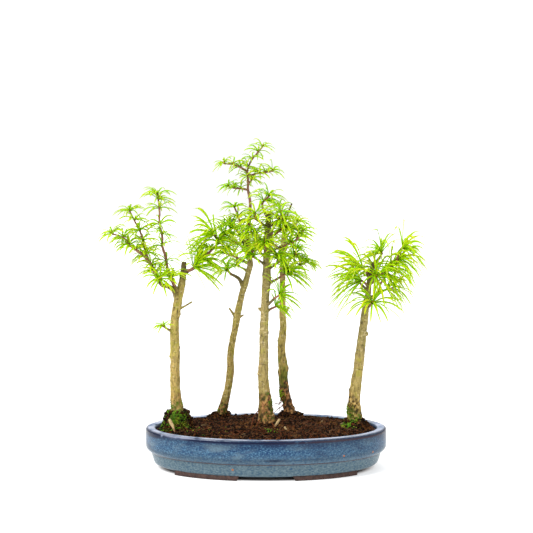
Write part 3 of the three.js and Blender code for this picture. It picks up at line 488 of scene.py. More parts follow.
# Each tuft has its name, its tree and then the same values.
TUFTS = (
    ("back_right_tuft", "back_right", (92, 190), (9, 60), 460, -0.5, 2.8, 7),
    ("right_tuft", "right", (79, 200), (10, 70), 240, -0.4, 2.0, 8),
    ("right_foot_moss", "right", (66, 275), (10, 80), 260, -0.1, 2.0, 9),
    ("centre_tuft", "centre", (88, 320), (26, 70), 260, 0.1, 1.6, 10),
    ("left_tuft", "left", (88, 270), (12, 200), 300, -0.1, 1.8, 11),
    ("back_left_tuft", "back_left", (72, 200), (12, 120), 120, 0.0, 1.6, 12),
)


def unit(vectors: Array) -> Array:
    """Returns the vectors, which lie along the last axis, at length one."""
    return vectors / np.linalg.norm(vectors, axis=-1, keepdims=True)


def ease(value: Array, low: float, high: float) -> Array:
    """Rises softly from 0 at low to 1 at high."""
    share = np.clip((value - low) / (high - low), 0, 1)
    return share * share * (3 - 2 * share)


def hump(value: Array, middle: float, width: float) -> Array:
    """Rises softly to 1 at the middle and falls off again over a width."""
    return np.exp(-(((value - middle) / width) ** 2))


def scramble(wave: Array) -> Array:
    """Returns a number from 0 to 1 for each number, the same each time."""
    spread = np.sin(wave) * 43758.5453
    return spread - np.floor(spread)


def chance(index: Array, salt: int) -> Array:
    """Returns a number from 0 to 1 for each whole number and salt, the same each time."""
    return scramble(index * 12.9898 + salt * 78.233)


def lumps(points: Array, size: float | Triple, salt: int) -> Array:
    """Makes smooth random relief.

    Args:
        points: Places, in millimetres.
        size: How far the lumps lie apart, the same all ways or along x, y and z.
        salt: Picks one pattern of many.

    Returns:
        A height from -1 to 1 at each place.
    """
    cell = points / np.asarray(size, float)
    base = np.floor(cell)
    share = cell - base
    share = share * share * (3 - 2 * share)
    total = np.zeros(points.shape[:-1])
    for corner in np.ndindex(2, 2, 2):
        weight = np.prod(np.where(np.array(corner) == 1, share, 1 - share), axis=-1)
        lattice = (base + corner) @ (12.9898, 78.233, 37.719)
        total += weight * scramble(lattice + salt * 4.1414)
    return 2 * total - 1


def rounded_route(knots: Array, step: float) -> tuple[Array, list[int]]:
    """Draws a smooth line through knots.

    Args:
        knots: Rows of x, y, z and any further values, such as a radius.
        step: The distance between rows of the line.

    Returns:
        The rows of the line, and the number of each knot's row.
    """
    ends = np.vstack((2 * knots[0] - knots[1], knots, 2 * knots[-1] - knots[-2]))
    rows, marks = [], [0]
    for before, start, stop, after in zip(ends, ends[1:], ends[2:], ends[3:]):
        count = max(1, round(np.linalg.norm((stop - start)[:3]) / step))
        share = np.linspace(0, 1, count, endpoint=False)[:, None]
        bend = (2 * before - 5 * start + 4 * stop - after) * share**2
        bend += (3 * (start - stop) + after - before) * share**3
        rows.append(start + 0.5 * ((stop - before) * share + bend))
        marks.append(marks[-1] + count)
    rows.append(knots[-1:])
    return np.vstack(rows), marks


def frames_along(line: Array) -> tuple[Array, Array, Array]:
    """Finds the direction of a line and two ways across it, turned as little as possible.

    Args:
        line: Rows of x, y and z.

    Returns:
        The directions along, to the side and over, one row each for each row of the line.
    """
    along = unit(np.gradient(line, axis=0))
    side = np.empty_like(along)
    start = np.array((0.3, 1.0, 0.1))
    for i, way in enumerate(along):
        start = unit(start - way * (start @ way))
        side[i] = start
    return along, side, np.cross(along, side)


def linked(name: str, data: bpy.types.ID) -> Piece:
    """Makes an object and links it to the scene.

    Args:
        name: Its name.
        data: Its mesh, light or camera.

    Returns:
        The object.
    """
    made = bpy.data.objects.new(name, data)
    bpy.context.scene.collection.objects.link(made)
    return made


@dataclass
class Skin:
    """Gathers the vertices, faces and paint of one piece. Paint is four numbers a vertex."""

    points: list[Array] = field(default_factory=list)
    faces: list[tuple[Array, int]] = field(default_factory=list)
    paint: list[Array] = field(default_factory=list)
    count: int = 0

    def add(self, points: Array, faces: list[Array], paint: Array, dress: int = 0) -> None:
        """Adds a closed shape.

        Args:
            points: Its vertices, in millimetres.
            faces: Arrays of faces, each with its own number of corners.
            paint: Four numbers for each vertex, or four for all.
            dress: Which of the piece's materials it wears.
        """
        self.points.append(points.reshape(-1, 3))
        total = len(self.points[-1])
        self.paint.append(np.broadcast_to(paint, (total, 4)) if paint.ndim == 1 else paint)
        self.faces += [(corners + self.count, dress) for corners in faces]
        self.count += total

    def piece(self, name: str, materials: list[Material]) -> Piece:
        """Makes the mesh object.

        Args:
            name: The piece's name.
            materials: What it wears, in the order that add() counts them.

        Returns:
            The object, linked to the scene.
        """
        mesh = bpy.data.meshes.new(name)
        places = np.vstack(self.points) * MM
        mesh.vertices.add(len(places))
        mesh.vertices.foreach_set("co", places.astype(np.float32).ravel())
        corners = np.concatenate([faces.ravel() for faces, _ in self.faces])
        sizes = np.concatenate([np.full(len(f), f.shape[1]) for f, _ in self.faces])
        dresses = np.concatenate([np.full(len(f), dress) for f, dress in self.faces])
        mesh.loops.add(len(corners))
        mesh.loops.foreach_set("vertex_index", corners.astype(np.int32))
        mesh.polygons.add(len(sizes))
        starts = np.concatenate(([0], np.cumsum(sizes)[:-1]))
        mesh.polygons.foreach_set("loop_start", starts.astype(np.int32))
        mesh.polygons.foreach_set("material_index", dresses.astype(np.int32))
        mesh.polygons.foreach_set("use_smooth", np.ones(len(sizes), bool))
        for material in materials:
            mesh.materials.append(material)
        layer = mesh.attributes.new("paint", "FLOAT_COLOR", "POINT")
        layer.data.foreach_set("color", np.vstack(self.paint).astype(np.float32).ravel())
        mesh.update(calc_edges=True)
        mesh.validate()
        return linked(name, mesh)


def place(piece: Piece, slot: Slot, *nodes: str) -> Piece:
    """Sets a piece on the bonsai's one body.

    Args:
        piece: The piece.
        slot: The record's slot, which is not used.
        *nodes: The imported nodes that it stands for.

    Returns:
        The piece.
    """
    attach(piece, "root")
    if nodes:
        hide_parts(*nodes)
    LOG.info("%s: %d faces", piece.name, len(piece.data.polygons))
    return piece


def ring_faces(rows: int, sides: int) -> Array:
    """Joins the rows of a tube.

    Args:
        rows: How many rows of points it has.
        sides: How many points a row has.

    Returns:
        The four-cornered faces between the rows.
    """
    row, column = np.mgrid[0 : rows - 1, 0:sides]
    onward = (column + 1) % sides
    corners = (row * sides + column, row * sides + onward)
    corners += ((row + 1) * sides + onward, (row + 1) * sides + column)
    return np.stack(corners, axis=-1).reshape(-1, 4)


def end_faces(rows: int, sides: int) -> list[Array]:
    """Closes the two ends of a tube on two points that follow its rows.

    Args:
        rows: How many rows of points it has.
        sides: How many points a row has.

    Returns:
        The three-cornered faces of its foot and of its tip.
    """
    column = np.arange(sides)
    onward = (column + 1) % sides
    hub, last = np.full(sides, rows * sides), (rows - 1) * sides
    foot = np.stack((hub, onward, column), -1)
    return [foot, np.stack((hub + 1, last + column, last + onward), -1)]


def tube(
    line: Array, sides: int, relief: Callable[[Array, Array], Array] | None = None
) -> tuple[Array, list[Array]]:
    """Sweeps a round section along a line, closed at both ends.

    Args:
        line: Rows of x, y, z and radius.
        sides: Corners of the section.
        relief: Gives the height to add to each surface point, from the points and the ways out.

    Returns:
        The vertices, with the two end centres last, and the faces.
    """
    _, side, over = frames_along(line[:, :3])
    turn = np.linspace(0, 2 * math.pi, sides, endpoint=False)[None, :, None]
    outward = side[:, None] * np.cos(turn) + over[:, None] * np.sin(turn)
    surface = line[:, None, :3] + outward * line[:, None, 3:4]
    if relief:
        surface = surface + outward * relief(surface, outward)[..., None]
    points = np.vstack((surface.reshape(-1, 3), line[0, :3], line[-1, :3]))
    return points, [ring_faces(len(line), sides), *end_faces(len(line), sides)]


def linear(colour: str) -> tuple[float, float, float, float]:
    """Turns a screen colour into light.

    Args:
        colour: The colour, such as 4f739c.

    Returns:
        The values that shaders take.
    """
    parts = [int(colour[i : i + 2], 16) / 255 for i in (0, 2, 4)]
    lit = [p / 12.92 if p <= 0.04045 else ((p + 0.055) / 1.055) ** 2.4 for p in parts]
    return (lit[0], lit[1], lit[2], 1.0)


class Recipe:
    """A procedural material in the making, around one Principled shader."""

    def __init__(self, name: str, roughness: float, **sockets: float) -> None:
        """Starts the material.

        Args:
            name: The material's name.
            roughness: The shader's roughness.
            **sockets: Further constants of the shader, with _ for each space.
        """
        self.material = bpy.data.materials.new(name)
        self.material.use_nodes = True
        self.tree = self.material.node_tree
        self.shader = self.tree.nodes["Principled BSDF"]
        self.shader.inputs["Roughness"].default_value = roughness
        for socket, value in sockets.items():
            self.shader.inputs[socket.replace("_", " ")].default_value = value
        self.where = self.tree.nodes.new("ShaderNodeTexCoord").outputs["Object"]
        painted = self.tree.nodes.new("ShaderNodeAttribute")
        painted.attribute_name = "paint"
        self.split = self.tree.nodes.new("ShaderNodeSeparateColor")
        self.tree.links.new(painted.outputs["Color"], self.split.inputs["Color"])
        self.paint = dict(zip("abc", self.split.outputs))
        self.paint["d"] = painted.outputs["Alpha"]

    def feed(self, socket: Socket, value: object) -> None:
        """Feeds a socket.

        Args:
            socket: The input.
            value: Another socket to link to it, or its plain value.
        """
        if isinstance(value, Socket):
            self.tree.links.new(value, socket)
        else:
            socket.default_value = value

    def node(self, kind: str, inputs: dict[int | str, object], **options: str) -> bpy.types.Node:
        """Adds a node.

        Args:
            kind: Its type, without the word ShaderNode.
            inputs: What feeds its inputs, by their names or numbers.
            **options: Its further settings.

        Returns:
            The node.
        """
        node = self.tree.nodes.new(f"ShaderNode{kind}")
        for name, value in options.items():
            setattr(node, name, value)
        for socket, value in inputs.items():
            self.feed(node.inputs[socket], value)
        return node

    def math(self, operation: str, one: object, two: object = 0.0) -> Socket:
        """Returns the result of a Math node on two sockets or numbers."""
        return self.node("Math", {0: one, 1: two}, operation=operation).outputs[0]

    def over(self, colour: object, paint: object, share: object, amount: object) -> Socket:
        """Returns the colour with a paint over it, as strong as a share times an amount."""
        return self.mix(self.math("MULTIPLY", share, amount), colour, paint)

    def noise(
        self, size: float, detail: float = 3, stretch: Triple = (1, 1, 1), salt: float = 0
    ) -> Socket:
        """Adds cloudy noise.

        Args:
            size: How far its clouds lie apart, in millimetres.
            detail: How many finer layers it has.
            stretch: How many times longer the clouds are along x, y and z.
            salt: Moves the pattern.

        Returns:
            The noise, from 0 to 1.
        """
        place = {"Vector": self.where, "Location": (salt, salt * 0.7, -salt)}
        place["Scale"] = [1 / part for part in stretch]
        cloud = {"Vector": self.node("Mapping", place).outputs[0], "Detail": detail}
        cloud["Scale"] = 1 / (size * MM)
        return self.node("TexNoise", cloud).outputs["Fac"]

    def near(self, place: Triple, radius: float) -> Socket:
        """Marks a round spot.

        Args:
            place: Its middle, in millimetres.
            radius: How far it reaches.

        Returns:
            A share that is 1 at its middle and 0 beyond it.
        """
        ends = {0: self.where, 1: [part * MM for part in place]}
        away = self.node("VectorMath", ends, operation="DISTANCE").outputs["Value"]
        return self.band(away, radius * MM, 0.5 * radius * MM)

    def ramp(self, share: object, *stops: tuple[float, str]) -> Socket:
        """Shades between colours.

        Args:
            share: Where between them it is, from 0 to 1.
            *stops: The position of each and its screen colour.

        Returns:
            The colour.
        """
        node = self.node("ValToRGB", {0: share})
        elements = node.color_ramp.elements
        elements.remove(elements[1])
        elements[0].position = stops[0][0]
        elements[0].color = linear(stops[0][1])
        for position, colour in stops[1:]:
            elements.new(position).color = linear(colour)
        return node.outputs["Color"]

    def band(self, value: object, low: float, high: float) -> Socket:
        """Returns a share that rises softly from 0 at low to 1 at high, or falls if low is more."""
        ends = {"Value": value, "From Min": low, "From Max": high}
        return self.node("MapRange", ends, interpolation_type="SMOOTHSTEP").outputs[0]

    def mix(self, share: object, one: object, two: object, way: str = "MIX") -> Socket:
        """Mixes two colours.

        Args:
            share: How much there is of the second.
            one: The first colour, a socket or a screen colour.
            two: The second colour.
            way: How they mix.

        Returns:
            The mix.
        """
        one, two = [linear(part) if isinstance(part, str) else part for part in (one, two)]
        colours = {"Factor": share, 6: one, 7: two}
        return self.node("Mix", colours, data_type="RGBA", blend_type=way).outputs[2]

    def bump(self, height: object, depth: float) -> None:
        """Raises the surface by a height from 0 to 1, times a depth in millimetres."""
        node = self.node("Bump", {"Height": height, "Distance": depth * MM})
        self.feed(self.shader.inputs["Normal"], node.outputs["Normal"])

    def done(self, colour: object) -> Material:
        """Wears the colour and returns the finished material."""
        self.feed(self.shader.inputs["Base Color"], colour)
        return self.material


@dataclass(frozen=True)
class Glaze:
    """Glossy blue glaze over brown clay: mottled, navy under the lip, worn brown at the step.

    Paint: a the lip's top, pale with painted reflection and painted highlights, b the navy edge, c the
    lower body, d the brown line of the step.
    """

    navy: str = "0c1734"
    deep: str = "10305c"
    blue: str = "2b4e6e"
    pale: str = "5581a0"
    slate: str = "526873"
    slate_pale: str = "71868f"
    # The lip's pale lavender is a painted reflection, and its palest colour paints highlight streaks.
    lip: str = "8294b4"
    lip_highlight: str = "bcc4dc"
    worn: str = "4a3634"
    rust: str = "a8683a"
    specks: tuple[tuple[Triple, float], ...] = (
        ((-46, -117, 16), 2.2), ((108, -103, 33), 1.8), ((151, -66, 32), 2.0),
        ((-20, -120, 20), 0.9), ((60, 117, 24), 1.6), ((-90, 100, 14), 1.8), ((35, -121, 15), 0.8),
    )

    def dress(self) -> Material:
        """Mixes the finish of the glaze.

        Returns:
            The material.
        """
        make = Recipe(
            "blue_glaze", 0.25, Specular_IOR_Level=0.12, Coat_Weight=0.06, Coat_Roughness=0.05
        )
        fine = make.noise(1.6, 4, (1.6, 1.6, 1))
        flow = make.band(make.noise(17, 4, (3.2, 3.2, 0.8), 3.0), 0.48, 0.66)
        blue = make.ramp(fine, (0.34, self.deep), (0.5, self.blue), (0.68, self.pale))
        deep = make.ramp(fine, (0.34, self.navy), (0.6, self.deep), (0.72, self.blue))
        blue = make.over(blue, deep, flow, 0.7)
        milky = make.band(make.noise(26, 3, (2, 2, 0.7), 31), 0.5, 0.7)
        blue = make.over(blue, self.slate_pale, milky, 0.55)
        grain = make.noise(1.9, 5, (1.7, 1.7, 1), 6)
        slate = make.ramp(grain, (0.28, self.blue), (0.46, self.slate), (0.74, self.slate_pale))
        colour = make.mix(make.paint["c"], blue, slate)
        # Painted reflection and highlight: over the navy, the lip's top goes through pale lavender to
        # its palest.
        lip_streaks = make.noise(3.4, 4, (6, 6, 1), 13)
        lip = make.ramp(lip_streaks, (0.3, self.deep), (0.4, self.lip), (0.54, self.lip_highlight))
        colour = make.over(colour, lip, make.paint["a"], 0.95)
        edge = make.band(make.noise(12, 3, salt=7), 0.15, 0.45)
        colour = make.over(colour, self.navy, make.paint["b"], edge)
        line = make.band(make.noise(14, 3, salt=9), 0.15, 0.4)
        colour = make.over(colour, self.worn, make.paint["d"], line)
        for place, radius in self.specks:
            colour = make.mix(make.near(place, radius), colour, self.rust)
        make.bump(make.noise(5, 4, (2, 2, 1), 4), 0.4)
        return make.done(colour)


@dataclass(frozen=True)
class BareClay:
    """The unglazed red-brown stoneware of the feet, the underside and the drain holes."""

    dark: str = "33231f"
    light: str = "5c423a"

    def dress(self) -> Material:
        """Mixes the finish of the clay.

        Returns:
            The material.
        """
        make = Recipe("bare_clay", 0.85)
        make.bump(make.noise(0.9, 4), 0.2)
        return make.done(make.ramp(make.noise(4, 4), (0.3, self.dark), (0.75, self.light)))


@dataclass(frozen=True)
class Peat:
    """Moist peat: dark brown with reddish strands. Paint: a dryness, b a tint for each crumb."""

    black: str = "080301"
    brown: str = "241007"
    red: str = "643719"
    dry: str = "9c6c38"

    def dress(self) -> Material:
        """Mixes the finish of the peat.

        Returns:
            The material.
        """
        make = Recipe("moist_peat", 0.9, Specular_IOR_Level=0.1)
        grain = make.noise(3.4, 5)
        colour = make.ramp(grain, (0.45, self.black), (0.51, self.brown), (0.59, self.red))
        colour = make.over(colour, self.black, make.band(make.noise(7, 3, salt=8), 0.5, 0.6), 0.6)
        dry = make.math("MULTIPLY", make.paint["a"], make.band(make.noise(2.4, 4, salt=5), 0.44, 0.58))
        colour = make.over(colour, self.dry, dry, 0.62)
        colour = make.over(colour, self.black, make.paint["b"], 0.8)
        make.bump(make.noise(1.2, 4, salt=2), 1.0)
        return make.done(colour)


@dataclass(frozen=True)
class Bark:
    """Thin olive-tan bark. Paint: a height on the tree, b dark scars, painted shade, c moss, d
    red-brown foot.
    """

    tan: str = "c6ae66"
    olive: str = "9f8c4a"
    grey: str = "877b55"
    crack: str = "55482b"
    russet: str = "935a33"
    chip: str = "d09a60"
    gap: str = "24160a"
    lichen: str = "a9a43a"
    fleck: str = "4c3c22"
    scale: str = "d9c794"
    # Paint b's colour: dark scars, and painted shade under the foliage and in the bark's hollows.
    scar_and_shade: str = "2e2213"
    moss_dark: str = "33410c"
    moss: str = "86902a"

    def dress(self) -> Material:
        """Mixes the finish of the bark.

        Returns:
            The material.
        """
        make = Recipe("larch_bark", 0.8, Specular_IOR_Level=0.3)
        strands = make.noise(2.4, 4, (1, 1, 4))
        colour = make.ramp(strands, (0.28, self.crack), (0.42, self.olive), (0.62, self.tan))
        colour = make.over(colour, self.grey, make.band(make.paint["a"], 0.45, 0.95), 0.55)
        for paint, amount, size, detail, stretch, salt, low, high in (
            (self.lichen, 0.5, 9, 4, (1, 1, 1.5), 11, 0.5, 0.66),
            (self.fleck, 0.7, 3.4, 3, (1.5, 1.5, 0.7), 15, 0.6, 0.68),
            (self.scale, 0.55, 4.2, 3, (1.6, 1.6, 0.8), 25, 0.58, 0.66),
        ):
            spots = make.band(make.noise(size, detail, stretch, salt), low, high)
            colour = make.over(colour, paint, spots, amount)
        plates = make.noise(3.4, 4, (1, 1, 1.4), 5)
        russet = make.ramp(plates, (0.4, self.gap), (0.49, self.russet), (0.66, self.chip))
        moss = make.ramp(strands, (0.3, self.moss_dark), (0.7, self.moss))
        for name, paint in (("d", russet), ("b", self.scar_and_shade), ("c", moss)):
            colour = make.mix(make.paint[name], colour, paint)
        make.bump(make.math("ADD", strands, make.noise(1.1, 3, salt=8)), 0.6)
        return make.done(colour)


@dataclass(frozen=True)
class Twig:
    """Thin purple-brown bark of shoots and spurs. Paint: b darker, c budlike."""

    brown: str = "a8765a"
    purple: str = "8a5846"
    dark: str = "4a3024"
    bud: str = "c9742e"

    def dress(self) -> Material:
        """Mixes the finish of the twigs.

        Returns:
            The material.
        """
        make = Recipe("shoot_bark", 0.6, Specular_IOR_Level=0.35)
        grain = make.noise(1.8, 3, (1, 1, 2))
        colour = make.ramp(grain, (0.35, self.purple), (0.65, self.brown))
        colour = make.mix(make.paint["b"], colour, self.dark)
        return make.done(make.mix(make.paint["c"], colour, self.bud))


@dataclass(frozen=True)
class Needle:
    """Soft lime-green needles. Paint: a share of the length, b painted shade, c yellowness."""

    root: str = "84b604"
    middle: str = "a8d202"
    ripe: str = "bcda08"
    tip: str = "c8dd42"
    shade: str = "52a600"
    yellow: str = "e6e02c"

    def dress(self) -> Material:
        """Mixes the finish of the needles.

        Returns:
            The material.
        """
        make = Recipe(
            "larch_needle", 0.5, Specular_IOR_Level=0.12, Subsurface_Weight=0.5, Subsurface_Scale=0.002
        )
        make.shader.inputs["Subsurface Radius"].default_value = (0.5, 1.0, 0.06)
        stops = ((0, self.root), (0.3, self.middle), (0.75, self.ripe), (1, self.tip))
        colour = make.mix(make.paint["b"], make.ramp(make.paint["a"], *stops), self.shade)
        return make.done(make.mix(make.paint["c"], colour, self.yellow))


@dataclass(frozen=True)
class Moss:
    """Bright cushion moss. Paint: a from the dark base to the light tips, b yellowness."""

    base: str = "141f04"
    tip: str = "7cba14"
    yellow: str = "96a022"

    def dress(self) -> Material:
        """Mixes the finish of the moss.

        Returns:
            The material.
        """
        make = Recipe("cushion_moss", 0.75, Specular_IOR_Level=0.3)
        colour = make.ramp(make.paint["a"], (0, self.base), (1, self.tip))
        return make.done(make.mix(make.paint["b"], colour, self.yellow))


@dataclass(frozen=True)
class DeadWood:
    """Pale chips, straw and rootlets on the peat. Paint: a from pale to dark, b redness."""

    pale: str = "d9bd8a"
    brown: str = "3a1d0e"
    red: str = "7c3c1c"
    grain: str = "6b4630"

    def dress(self) -> Material:
        """Mixes the finish of the dead wood.

        Returns:
            The material.
        """
        make = Recipe("dead_wood", 0.8, Specular_IOR_Level=0.15)
        colour = make.mix(make.paint["a"], self.pale, self.brown)
        colour = make.over(colour, self.red, make.paint["b"], 0.7)
        fibres = make.band(make.noise(1.4, 3), 0.3, 1.0)
        return make.done(make.mix(fibres, colour, self.grain, "MULTIPLY"))


@dataclass(frozen=True)
class MeshPlastic:
    """Matt black plastic of the drain screens."""

    black: str = "1d1f20"
    grey: str = "2b2e30"

    def dress(self) -> Material:
        """Mixes the finish of the plastic.

        Returns:
            The material.
        """
        make = Recipe("screen_plastic", 0.6)
        make.bump(make.noise(0.8, 2), 0.1)
        return make.done(make.ramp(make.noise(5, 2), (0.3, self.black), (0.8, self.grey)))


@dataclass(frozen=True)
class Oval:
    """The pot's oval rim. An inset is measured inwards from it."""

    half_length: float = 175
    half_depth: float = 131

    def at(self, inset: Array, turn: Array) -> Array:
        """Finds places on the oval.

        Args:
            inset: How far in from the rim each is.
            turn: Its angle, which counts round the oval.

        Returns:
            The x and y of each.
        """
        across = np.stack((self.half_depth * np.cos(turn), self.half_length * np.sin(turn)), -1)
        rim = np.stack((self.half_length * np.cos(turn), self.half_depth * np.sin(turn)), -1)
        return rim - inset[..., None] * unit(across)

    def share(self, x: Array, y: Array, inset: float) -> Array:
        """Returns how far out places lie: 0 in the middle, 1 at the inset."""
        return np.hypot(x / (self.half_length - inset), y / (self.half_depth - inset))


@dataclass
class Pot:
    """The shallow oval pot: a crowned lip, an upright band, a step and a lower body on four feet.

    Corners are insets, heights and roundings. Mist, haze, stain and dash are patches of the glaze, and
    runs is the patch of painted highlight streaks down the band from the lip; each is the angle round
    the oval and the width of it, in radians. A name with _rise is the heights between which a paint
    comes in, and a name with _line is the middle and the width of a line, by its height or its inset.
    """

    oval: Oval = field(default_factory=Oval)
    segments: int = 288
    corners: tuple[Triple, ...] = (
        (19, 5, 2), (12.5, 6.8, 5), (7.4, 23.2, 0.6), (5.9, 24.2, 0.6), (0, 29.6, 4), (0, 58.5, 4.2),
        (13.5, 58.5, 4.4), (15, 53, 2), (19, 22, 3), (21, 13, 7),
    )
    foot_height: float = 5
    floor_top: float = 13
    step_line: Pair = (23.8, 0.8)
    step_rise: Pair = (23.1, 24.4)
    step_inset: float = 9
    navy_line: Pair = (55, 1.3)
    fine_inset: float = 13
    fine_step: float = 1.1
    milky: Pair = (28, 44)
    mist: Pair = (5.5, 0.55)
    haze: Pair = (3.75, 0.3)
    # painted highlight streaks down the band from the lip
    highlight_patch: Pair = (3.95, 0.38)
    stain: Pair = (3.6, 0.26)
    dash: Pair = (4.78, 0.07)
    band_inset: float = 4.5
    edge_inset: float = 1.4
    lip_inset: Pair = (1.0, 3.5)
    lip_rise: Pair = (57.2, 58.2)
    highlight_rise: Pair = (53, 56.5)
    highlight_inset: float = 6
    navy_rise: Pair = (42, 54)
    stain_rise: Pair = (49, 52)
    haze_rise: Pair = (38, 46)
    inner_line: Pair = (14.4, 0.8)
    inner_from: float = 53
    groove: Pair = (31.0, 1.8)
    crest_line: Pair = (2.0, 0.7)
    crest_from: float = 57
    foot_insets: Pair = (14, 30)
    foot_rooted: float = 3
    side_gap: Pair = (40, 36)
    end_gap_half: float = 70
    drain_reach: float = 70
    drain_radius: float = 8
    middle_inset: float = 60

    def profile(self) -> Array:
        """Draws the pot's section, with its corners rounded off.

        Returns:
            Its rows of inset and height, from the underside round to the floor.
        """
        stops = np.array([corner[:2] for corner in self.corners])
        low, high = (self.middle_inset, self.foot_height), (self.middle_inset, self.floor_top)
        ends = np.vstack((low, stops, high))
        rows = []
        for before, here, after, (_, _, radius) in zip(ends, ends[1:], ends[2:], self.corners):
            ways = [end - here for end in (before, after)]
            cut = [here + way * min(0.48, radius / np.linalg.norm(way)) for way in ways]
            share = np.linspace(0, 1, 6)[:, None]
            curve = (1 - share) ** 2 * cut[0] + 2 * share * (1 - share) * here + share**2 * cut[1]
            if rows and max(here[0], before[0]) < self.fine_inset:
                count = int(np.linalg.norm(cut[0] - rows[-1][-1]) / self.fine_step)
                rows.append(np.linspace(rows[-1][-1], cut[0], count + 2)[1:-1])
            rows.append(curve)
        return np.vstack((ends[:1], *rows, ends[-1:]))

    def painted(self, inset: Array, height: Array, turn: Array) -> Array:
        """Paints the glaze, as Glaze names its paint.

        Args:
            inset: How far in from the rim each place is.
            height: How high it is.
            turn: Its angle round the oval.

        Returns:
            The four numbers of the paint at each.
        """
        outside, edge = inset < self.band_inset, inset < self.edge_inset
        patches = (self.highlight_patch, self.stain, self.mist, self.haze, self.dash)
        highlit, stained, misty, hazy, dashed = [hump(turn, *patch) for patch in patches]
        line = hump(height, *self.navy_line) * edge
        lip = ease(height, *self.lip_rise) * ease(inset, *self.lip_inset)
        navy = line * (1 - 0.6 * hazy) * (1 - 0.5 * misty)
        navy += 0.55 * ease(height, *self.navy_rise) * edge * (1 - hazy)
        navy += 0.8 * hump(inset, *self.inner_line) * (height > self.inner_from)
        navy += 0.9 * stained * ease(height, *self.stain_rise) * edge
        navy += (0.3 + 0.7 * dashed) * hump(height, *self.groove) * outside
        milky = (0.3 * misty + 0.25 * hazy * ease(height, *self.haze_rise)) * outside
        milky = np.maximum(0.55 * (1 - ease(height, *self.milky)), milky)
        worn = hump(height, *self.step_line) * (inset < self.step_inset)
        worn += 0.9 * hump(inset, *self.crest_line) * (height > self.crest_from)
        paint = np.empty((len(inset), 4))
        # Painted highlight: the lip's pale paint reaches down the band at the front left, towards the
        # key light.
        painted_highlight = highlit * ease(height, *self.highlight_rise) * (inset < self.highlight_inset)
        paint[:, 0] = np.maximum(lip, painted_highlight)
        paint[:, 1] = navy
        paint[:, 2] = np.maximum(milky, 1 - ease(height, *self.step_rise))
        paint[:, 3] = worn + 0.8 * misty * line
        return np.clip(paint, 0, 1)

    def feet(self, skin: Skin) -> None:
        """Adds the four feet: arcs of a ring, cut by a gap at each side and each end.

        Args:
            skin: The pot in the making.
        """
        steps, fine = 24, 400
        turn = np.linspace(0, math.pi / 2, fine)
        for quarter in range(4):
            mirror = np.array((1 if quarter in (0, 3) else -1, 1 if quarter < 2 else -1))
            arcs = []
            for inset in self.foot_insets:
                arc = self.oval.at(np.full(fine, float(inset)), turn)
                for gap in self.side_gap:
                    kept = arc[(arc[:, 0] > gap) & (arc[:, 1] > self.end_gap_half)]
                    arcs.append(kept[np.linspace(0, len(kept) - 1, steps).astype(int)] * mirror)
            low_out, high_out, low_in, high_in = arcs
            top = self.foot_height + self.foot_rooted
            loops = ((low_out, 0), (high_out, top), (high_in, top), (low_in, 0))
            ring = np.stack([np.column_stack((xy, np.full(steps, float(z)))) for xy, z in loops], 1)
            first, last = np.array((0, 3, 2, 1)), np.arange(4 * steps - 4, 4 * steps)
            faces = [ring_faces(steps, 4), np.stack((first, last))]
            if mirror.prod() > 0:
                faces = [f[:, ::-1] for f in faces]
            skin.add(ring, faces, np.array((0.0, 0, 0, 0)), 1)

    def body(self) -> Skin:
        """Turns the body, closed at the middle of its underside and of its floor.

        Returns:
            The pot in the making.
        """
        rows = self.profile()
        turn = np.linspace(0, 2 * math.pi, self.segments, endpoint=False)
        inset, around = np.meshgrid(rows[:, 0], turn, indexing="ij")
        height = np.broadcast_to(rows[:, 1:], inset.shape)
        places = np.concatenate((self.oval.at(inset, around), height[..., None]), -1)
        count = len(rows)
        middles = np.array(((0, 0, self.foot_height), (0, 0, self.floor_top)))
        points = np.vstack((places.reshape(-1, 3), middles))
        insets = np.append(inset.ravel(), (self.middle_inset,) * 2)
        paint = self.painted(insets, points[:, 2], np.append(around.ravel(), (0, 0)))
        skin = Skin()
        faces = ring_faces(count, self.segments)
        underside, floor = end_faces(count, self.segments)
        bare = points[faces].mean(1)[:, 2] < self.foot_height + 0.4
        skin.add(points, [faces[~bare], floor], paint)
        skin.faces += [(faces[bare], 1), (underside, 1)]
        return skin

    def build(self) -> Piece:
        """Builds the pot with its two drain holes.

        Returns:
            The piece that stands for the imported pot.
        """
        skin = self.body()
        self.feet(skin)
        pot = skin.piece("glazed_pot", [Glaze().dress(), BareClay().dress()])
        for side in (-1, 1):
            drill = Skin()
            centre = side * self.drain_reach
            line = np.array([(centre, 0.0, z, self.drain_radius) for z in (-5, 30)])
            drill.add(*tube(line, 40), np.zeros(4))
            cutter = drill.piece("drill", [])
            cut = pot.modifiers.new("drain", "BOOLEAN")
            cut.operation = "DIFFERENCE"
            cut.object = cutter
            with bpy.context.temp_override(object=pot, active_object=pot):
                bpy.ops.object.modifier_apply(modifier=cut.name)
            bpy.data.objects.remove(cutter)
        return place(pot, Slot.GLAZE, "pot")


